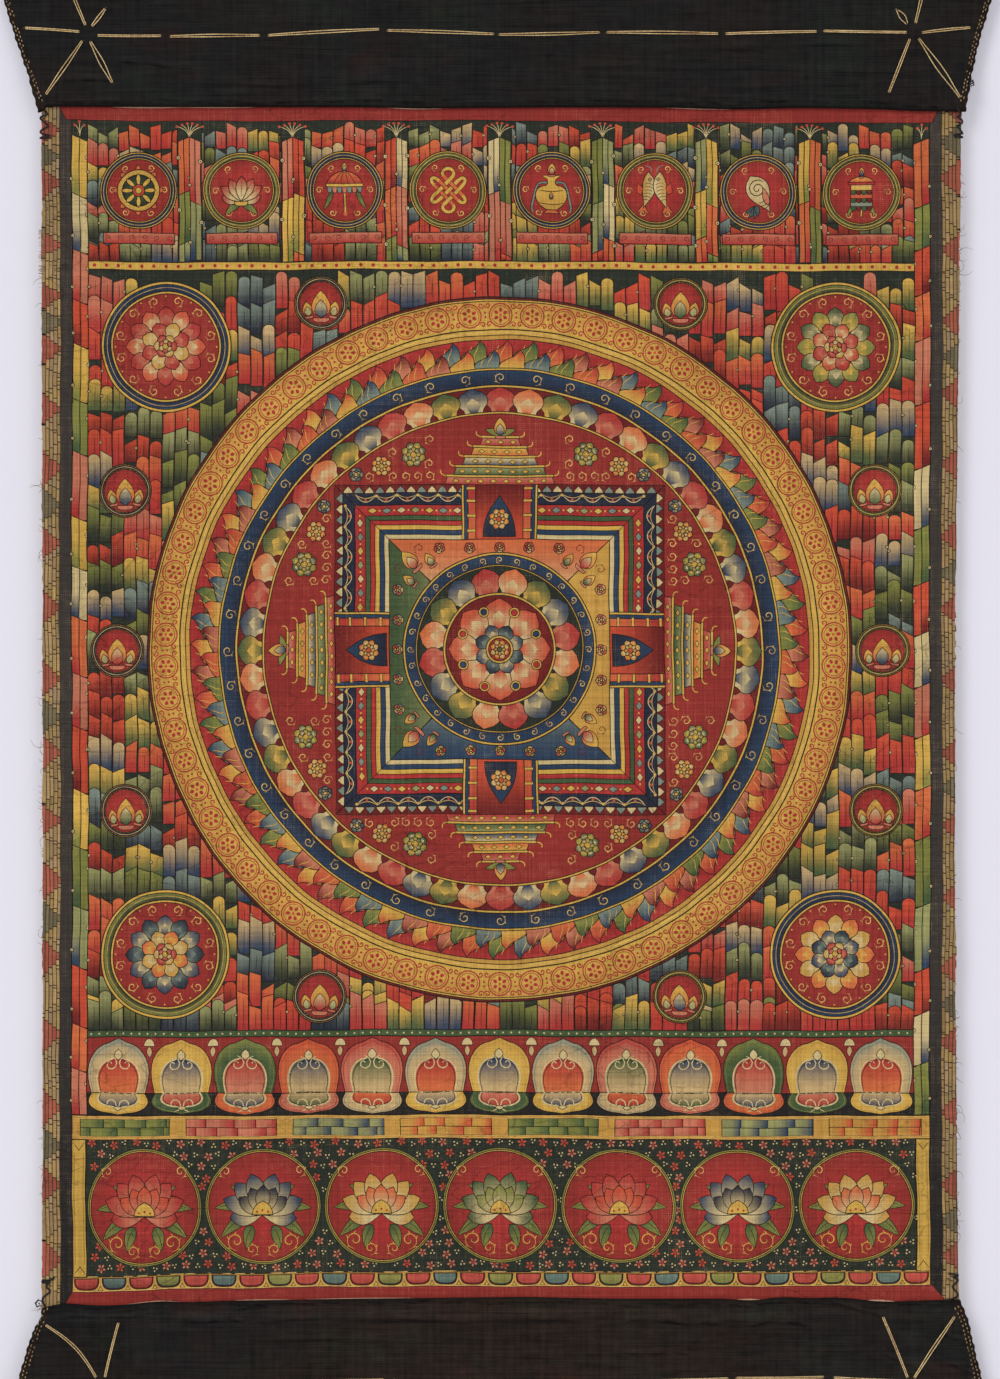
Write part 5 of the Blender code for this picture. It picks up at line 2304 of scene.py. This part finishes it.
# %% Loose fibres
FIBRE_RADIUS = 0.14
FRAYED = [  # side, first drop, last drop, number of fibres, how far in each one starts
    (-1, 222, 252, 10, 0.35), (-1, 306, 414, 34, 0.35), (-1, 479, 508, 9, 0.35),
    (-1, 100, 520, 16, 0.35), (1, 98, 162, 22, 0.35), (1, 434, 524, 30, 0.35),
    (1, 160, 500, 26, 0.35), (-1, 550, 553.5, 9, 0.35), (-1, 122, 146, 44, 1.1)]


def fibre(side, drop, inward):
    edge = edge_x(drop, side)
    laid = inward > 1             # the cloth's own weft, bare of paint and lying on it
    length = chance.choice((0.9, 1.3, 1.9, 2.8, 4.6)) * chance.uniform(0.7, 1.2)
    length = min(length, 1.3) if laid else length
    angle = chance.uniform(-1.0, 1.0) * (0.15 if laid else 1)
    bend = chance.uniform(-0.6, 0.6) * (1 + length / 2) * (0.3 if laid else 1)
    y = on_cloth(edge - side * 1.0, -drop, 0.12 if laid else -0.4)[1]
    path = []
    for share in np.linspace(-inward, 1, 7):
        turned = angle + bend * share
        path.append((edge + side * length * share * math.cos(turned), y + 0.5 * max(share, 0) ** 2,
            -drop + length * share * math.sin(turned)))
    return path


fibre_paths = [fibre(side, chance.uniform(first, last), inward)
    for side, first, last, count, inward in FRAYED for _ in range(count)]
fibres = swept("loose_fibres", fibre_paths, FIBRE_RADIUS, 4, thin_ends=True)
print(len(fibre_paths), "fibres")

# %% [markdown]
# The paint is mineral colour bound in glue on primed cotton. It is matt, it is thin
# enough for the weave to show through, and it has worn from the crowns of the threads,
# so a pale grid of cotton shows in it. Fine cracks cross it where the roll was bent.

# %% The paint
THREAD_PITCH = 0.78 * MM
THREAD_WANDER = 0.0011            # metres
BARE_COTTON = shade(178, 152, 112)


def woven(finish, where, pitch):
    """Height of a plain weave from 0 to 1, whose threads wander and vary a little."""
    drift = finish.noise(where, 220, 2.0) - 0.5
    x, y, z = finish.axes(where)
    warp = ((x + drift * THREAD_WANDER) * (2 * math.pi / pitch)).sine()
    weft = ((z + drift * THREAD_WANDER) * (2 * math.pi / pitch)).sine()
    return (warp * 0.5 + 0.5) * 0.5 + (weft * 0.5 + 0.5) * 0.5


def cracks(finish):
    """1 on fine cracks in the paint and 0 between, in patches where the roll was bent."""
    drift = finish.noise(finish.place(1, 1, 1), 130, 2.0)
    where = finish.node("VectorMath", {"operation": "ADD"}, {0: finish.place(62, 30, 150), 1: drift})
    cells = finish.node("TexVoronoi", {"feature": "DISTANCE_TO_EDGE"}, {"Vector": where, "Scale": 1.0})
    patch = finish.noise(finish.place(1, 1, 1), 11, 2.0).ramp(0.44, 0.58)
    return cells.ramp(0.035, 0.008) * patch


def painted(name, wear, roughness):
    finish = Finish(name, roughness, Specular_IOR_Level=0.16)
    colour = finish.node("VertexColor", {"layer_name": "paint"})
    where = finish.place(1, 1, 1)
    weave = woven(finish, where, THREAD_PITCH)
    slubs_down = finish.noise(finish.place(1300, 40, 16), 1.0, 1.0)
    slubs_across = finish.noise(finish.place(16, 40, 1300), 1.0, 1.0)
    thread = (slubs_down - 0.5) * 0.6 + (slubs_across - 0.5) * 0.5
    cloud = finish.noise(where, 34, 4.0, 0.6)
    stain = finish.noise(where, 9, 3.0, 0.6)
    fine = finish.noise(where, 420, 2.0)
    worn = ((fine - 0.5) * 0.9 + (weave - 0.5) * 0.8 + thread * 1.3 + (cloud - 0.5) * 1.2)
    tone = (1.0 + (cloud - 0.5) * 0.3 + (stain - 0.5) * 0.3 + thread * 1.1
            + (fine - 0.5) * 0.3 - cracks(finish) * 0.3)
    lit = finish.node("VectorMath", {"operation": "SCALE"}, {0: colour, 3: tone})
    bare = worn.ramp(0.30, 1.0) * wear
    surface = finish.blend(bare, lit, BARE_COTTON)
    finish.set("Base Color", surface)
    finish.set("Roughness", 0.78 + (fine - 0.5) * 0.2)
    height = weave * 0.5 + slubs_down * 0.5 + slubs_across * 0.4 + cloud * 0.2
    finish.bump(height, 0.35 * MM, 0.6)
    return finish.material


paint_finish = painted("painted cotton", 0.42, 0.8)
ink_finish = painted("ink lines", 0.25, 0.75)
sheet.data.materials.append(paint_finish)
ink_lines.data.materials.append(ink_finish)
print("paint:", len(paint_finish.node_tree.nodes), "nodes")

# %% [markdown]
# The gold lines are powdered gold in glue, now dull. They stay a paint with a soft
# metallic glint, browner where they are rubbed.


# %% The gold paint
def gold_paint():
    finish = Finish("gold paint", 0.5, Specular_IOR_Level=0.5)
    rubbed = finish.noise(finish.place(1, 1, 1), 300, 3.0)
    finish.set("Base Color", finish.blend(rubbed.ramp(0.4, 0.65), shade(214, 176, 92),
        shade(168, 126, 66)))
    finish.set("Metallic", rubbed.ramp(0.7, 0.3) * 0.45)
    finish.set("Roughness", 0.42 + rubbed * 0.3)
    finish.bump(rubbed, 0.1 * MM, 0.4)
    return finish.material


gold_lines.data.materials.append(gold_paint())
print("gold paint done")

# %% [markdown]
# The mount cloth is a near-black cotton, a little ribbed from side to side. Light
# slides along the ribs, and the dye has turned reddish in places. The panels' colour
# attribute adds painted shade in crease valleys and along the seams, and painted
# highlight on crease ridges and the fold's crown.


# %% The mount cloth
RIB_PITCH, WARP_PITCH = 1.05 * MM, 0.7 * MM
BLACK, BLUISH, RUSTY, GREENISH = ((31, 27, 24), (25, 27, 27), (47, 29, 23), (29, 34, 28))


def mount_cloth():
    finish = Finish("mount cloth", 0.85, Specular_IOR_Level=0.1)
    where = finish.place(1, 1, 1)
    x, y, z = finish.axes(where)
    drift = finish.noise(finish.place(22, 22, 60), 1.0, 3.0) - 0.5
    ribs = ((z + drift * 0.0026) * (2 * math.pi / RIB_PITCH)).sine() * 0.5 + 0.5
    warp = ((x + drift * 0.0016) * (2 * math.pi / WARP_PITCH)).sine() * 0.5 + 0.5
    slubs = finish.noise(finish.place(34, 40, 900), 1.0, 2.0)
    upright = finish.noise(finish.place(700, 40, 22), 1.0, 2.0)
    cloud = finish.noise(finish.place(14, 14, 30), 1.0, 4.0, 0.6)
    rubbed = finish.noise(where, 260, 3.0)
    rib_seen = finish.noise(where, 26, 2.0).ramp(0.42, 0.66)
    tone = ((ribs - 0.5) * rib_seen * 0.3 + (slubs - 0.5) * 1.6 + (upright - 0.5) * 1.3
            + (rubbed - 0.5) * 1.3 + 1.0)
    dark = finish.blend(cloud.ramp(0.42, 0.62), shade(*BLACK), shade(*BLUISH))
    warm = finish.blend(cloud.ramp(0.56, 0.68) * 0.55, dark, shade(*RUSTY))
    greenish = finish.noise(finish.place(26, 20, 40), 1.0, 3.0).ramp(0.5, 0.64) * 0.6
    mottled = finish.blend(greenish, warm, shade(*GREENISH))
    # the panel's colour attribute: painted shade and highlight of creases and seams, and the brown hem
    worn = finish.node("VertexColor", {"layer_name": "paint"})
    dyed_with_painted_shade = finish.blend(1.0, mottled, worn, "MULTIPLY")
    finish.set("Base Color", finish.node("VectorMath", {"operation": "SCALE"}, {0: dyed_with_painted_shade, 3: tone}))
    finish.set("Roughness", 0.8 + (rubbed - 0.5) * 0.2)
    finish.bump(ribs * 0.4 + warp * 0.2 + slubs * 0.9 + upright * 0.4, 0.3 * MM, 0.6)
    return finish.material


mount_finish = mount_cloth()
for panel in panels.values():
    panel.data.materials.append(mount_finish)
print("mount cloth:", len(mount_finish.node_tree.nodes), "nodes")

# %% [markdown]
# The sewing threads are matt cotton or silk. Fine bands across the thread stand for
# its fibres, and the pale ones have yellowed unevenly.


# %% The threads
def thread_finish(name, light, deep, roughness, sheen):
    finish = Finish(name, roughness, Sheen_Weight=sheen, Sheen_Roughness=0.4, Specular_IOR_Level=0.35)
    where = finish.place(1, 1, 1)
    fibres_seen = finish.noise(finish.place(1200, 1200, 1200), 1.0, 2.0)
    stain = finish.noise(where, 60, 2.0)
    mix = (fibres_seen - 0.5) * 1.2 + (stain - 0.5) * 0.9 + 0.5
    finish.set("Base Color", finish.blend(mix.ramp(0.15, 0.85), shade(*deep), shade(*light)))
    finish.set("Roughness", roughness + (fibres_seen - 0.5) * 0.25)
    finish.bump(fibres_seen, 0.12 * MM, 0.5)
    return finish.material


gold_stitches.data.materials.append(
    thread_finish("gold thread", (236, 206, 144), (150, 112, 62), 0.6, 0.3))
hem_stitches.data.materials.append(thread_finish("hem thread", (182, 156, 110), (84, 62, 38), 0.7, 0.2))
black_stitches.data.materials.append(thread_finish("black thread", (32, 26, 22), (11, 9, 9), 0.75, 0.05))
fibres.data.materials.append(thread_finish("cotton fibre", (166, 144, 104), (88, 70, 48), 0.85, 0.2))
print("threads done")

# %% [markdown]
# The stage is a pale wall just behind the scroll and a pale floor well below. The wall
# is only seen from its front, so that the scroll's back can be looked at. A broad lamp
# from the upper left gives the cloth its relief, and the pale room fills the shadows.

# %% Stage and light
WALL_BEHIND = 5.5 * MM
WALL_GLOW = 0.2                   # painted light: the wall glows a little, so the cloth's back is lit and its shadow on the wall is paler
FLOOR_LEVEL, WALL_TOP = -0.9, 2.2
WALL_COLOUR, WALL_LIGHT, FLOOR_COLOUR = (198, 196, 203), (250, 248, 255), (226, 225, 230)


def stage_plane(name, corners, colour, glow=0.0):
    mesh = bpy.data.meshes.new(name)
    mesh.from_pydata(corners, [], [(0, 1, 2, 3)])
    plane = bpy.data.objects.new(name, mesh)
    bpy.context.scene.collection.objects.link(plane)
    finish = Finish(name, 0.95)
    finish.set("Base Color", shade(*colour))
    finish.set("Emission Color", shade(*WALL_LIGHT))
    finish.set("Emission Strength", glow)
    clear = finish.node("BsdfTransparent")
    behind = finish.node("NewGeometry", output="Backfacing")
    seen = finish.node("MixShader", sockets={
        0: behind, 1: Value(finish.tree, finish.shader.outputs[0]), 2: clear})
    finish.tree.links.new(seen.socket, finish.tree.nodes["Material Output"].inputs[0])
    mesh.materials.append(finish.material)
    plane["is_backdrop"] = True
    return plane


stage_plane("wall", [(-3, WALL_BEHIND, FLOOR_LEVEL), (3, WALL_BEHIND, FLOOR_LEVEL),
    (3, WALL_BEHIND, WALL_TOP), (-3, WALL_BEHIND, WALL_TOP)], WALL_COLOUR, WALL_GLOW)
stage_plane("floor", [(-3, -4, FLOOR_LEVEL), (3, -4, FLOOR_LEVEL), (3, 4, FLOOR_LEVEL),
    (-3, 4, FLOOR_LEVEL)], FLOOR_COLOUR)


def lamp(name, across, up, softness, strength):
    """A far lamp that shines evenly: degrees to the right and up, seen from the scroll."""
    data = bpy.data.lights.new(name, "SUN")
    data.angle = math.radians(softness)
    data.energy = strength
    made = bpy.data.objects.new(name, data)
    made.rotation_euler = (math.radians(90 - up), 0, math.radians(across))
    bpy.context.scene.collection.objects.link(made)
    return made


ROOM_COLOUR, ROOM_LIGHT = (0.86, 0.87, 0.93, 1.0), 0.65
lamp("key", -34, 34, 26, 1.4)
lamp("fill", 26, 12, 40, 0.47)
lamp("back", 160, 30, 30, 1.2)
world = bpy.data.worlds.new("room")
world.use_nodes = True
sky = world.node_tree.nodes["Background"]
sky.inputs["Color"].default_value = ROOM_COLOUR
sky.inputs["Strength"].default_value = ROOM_LIGHT
bpy.context.scene.world = world
bpy.context.scene.view_settings.view_transform = "Standard"
print("three lamps and a pale room")

# %% [markdown]
# Last, every piece rides on the root body, and the three CAD cloths are hidden.

# %% Attach every piece to the root, and hide the CAD cloths
top_panel, bottom_panel = panels[True], panels[False]
for piece, slot in ((sheet, "painted_cotton"), (ink_lines, "painted_cotton"),
        (gold_lines, "painted_cotton"), (top_panel, "mount_cloth"), (bottom_panel, "mount_cloth"),
        (gold_stitches, "gold_thread"), (hem_stitches, "gold_thread"), (black_stitches, "black_thread"),
        (fibres, "bare_cotton")):
    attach(piece, "root")
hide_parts("painted_cloth")
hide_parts("top_mount")
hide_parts("bottom_mount")

visual_box = [list(corner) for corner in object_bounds()]
print("visual box in mm:", [[round(v / MM, 1) for v in corner] for corner in visual_box])
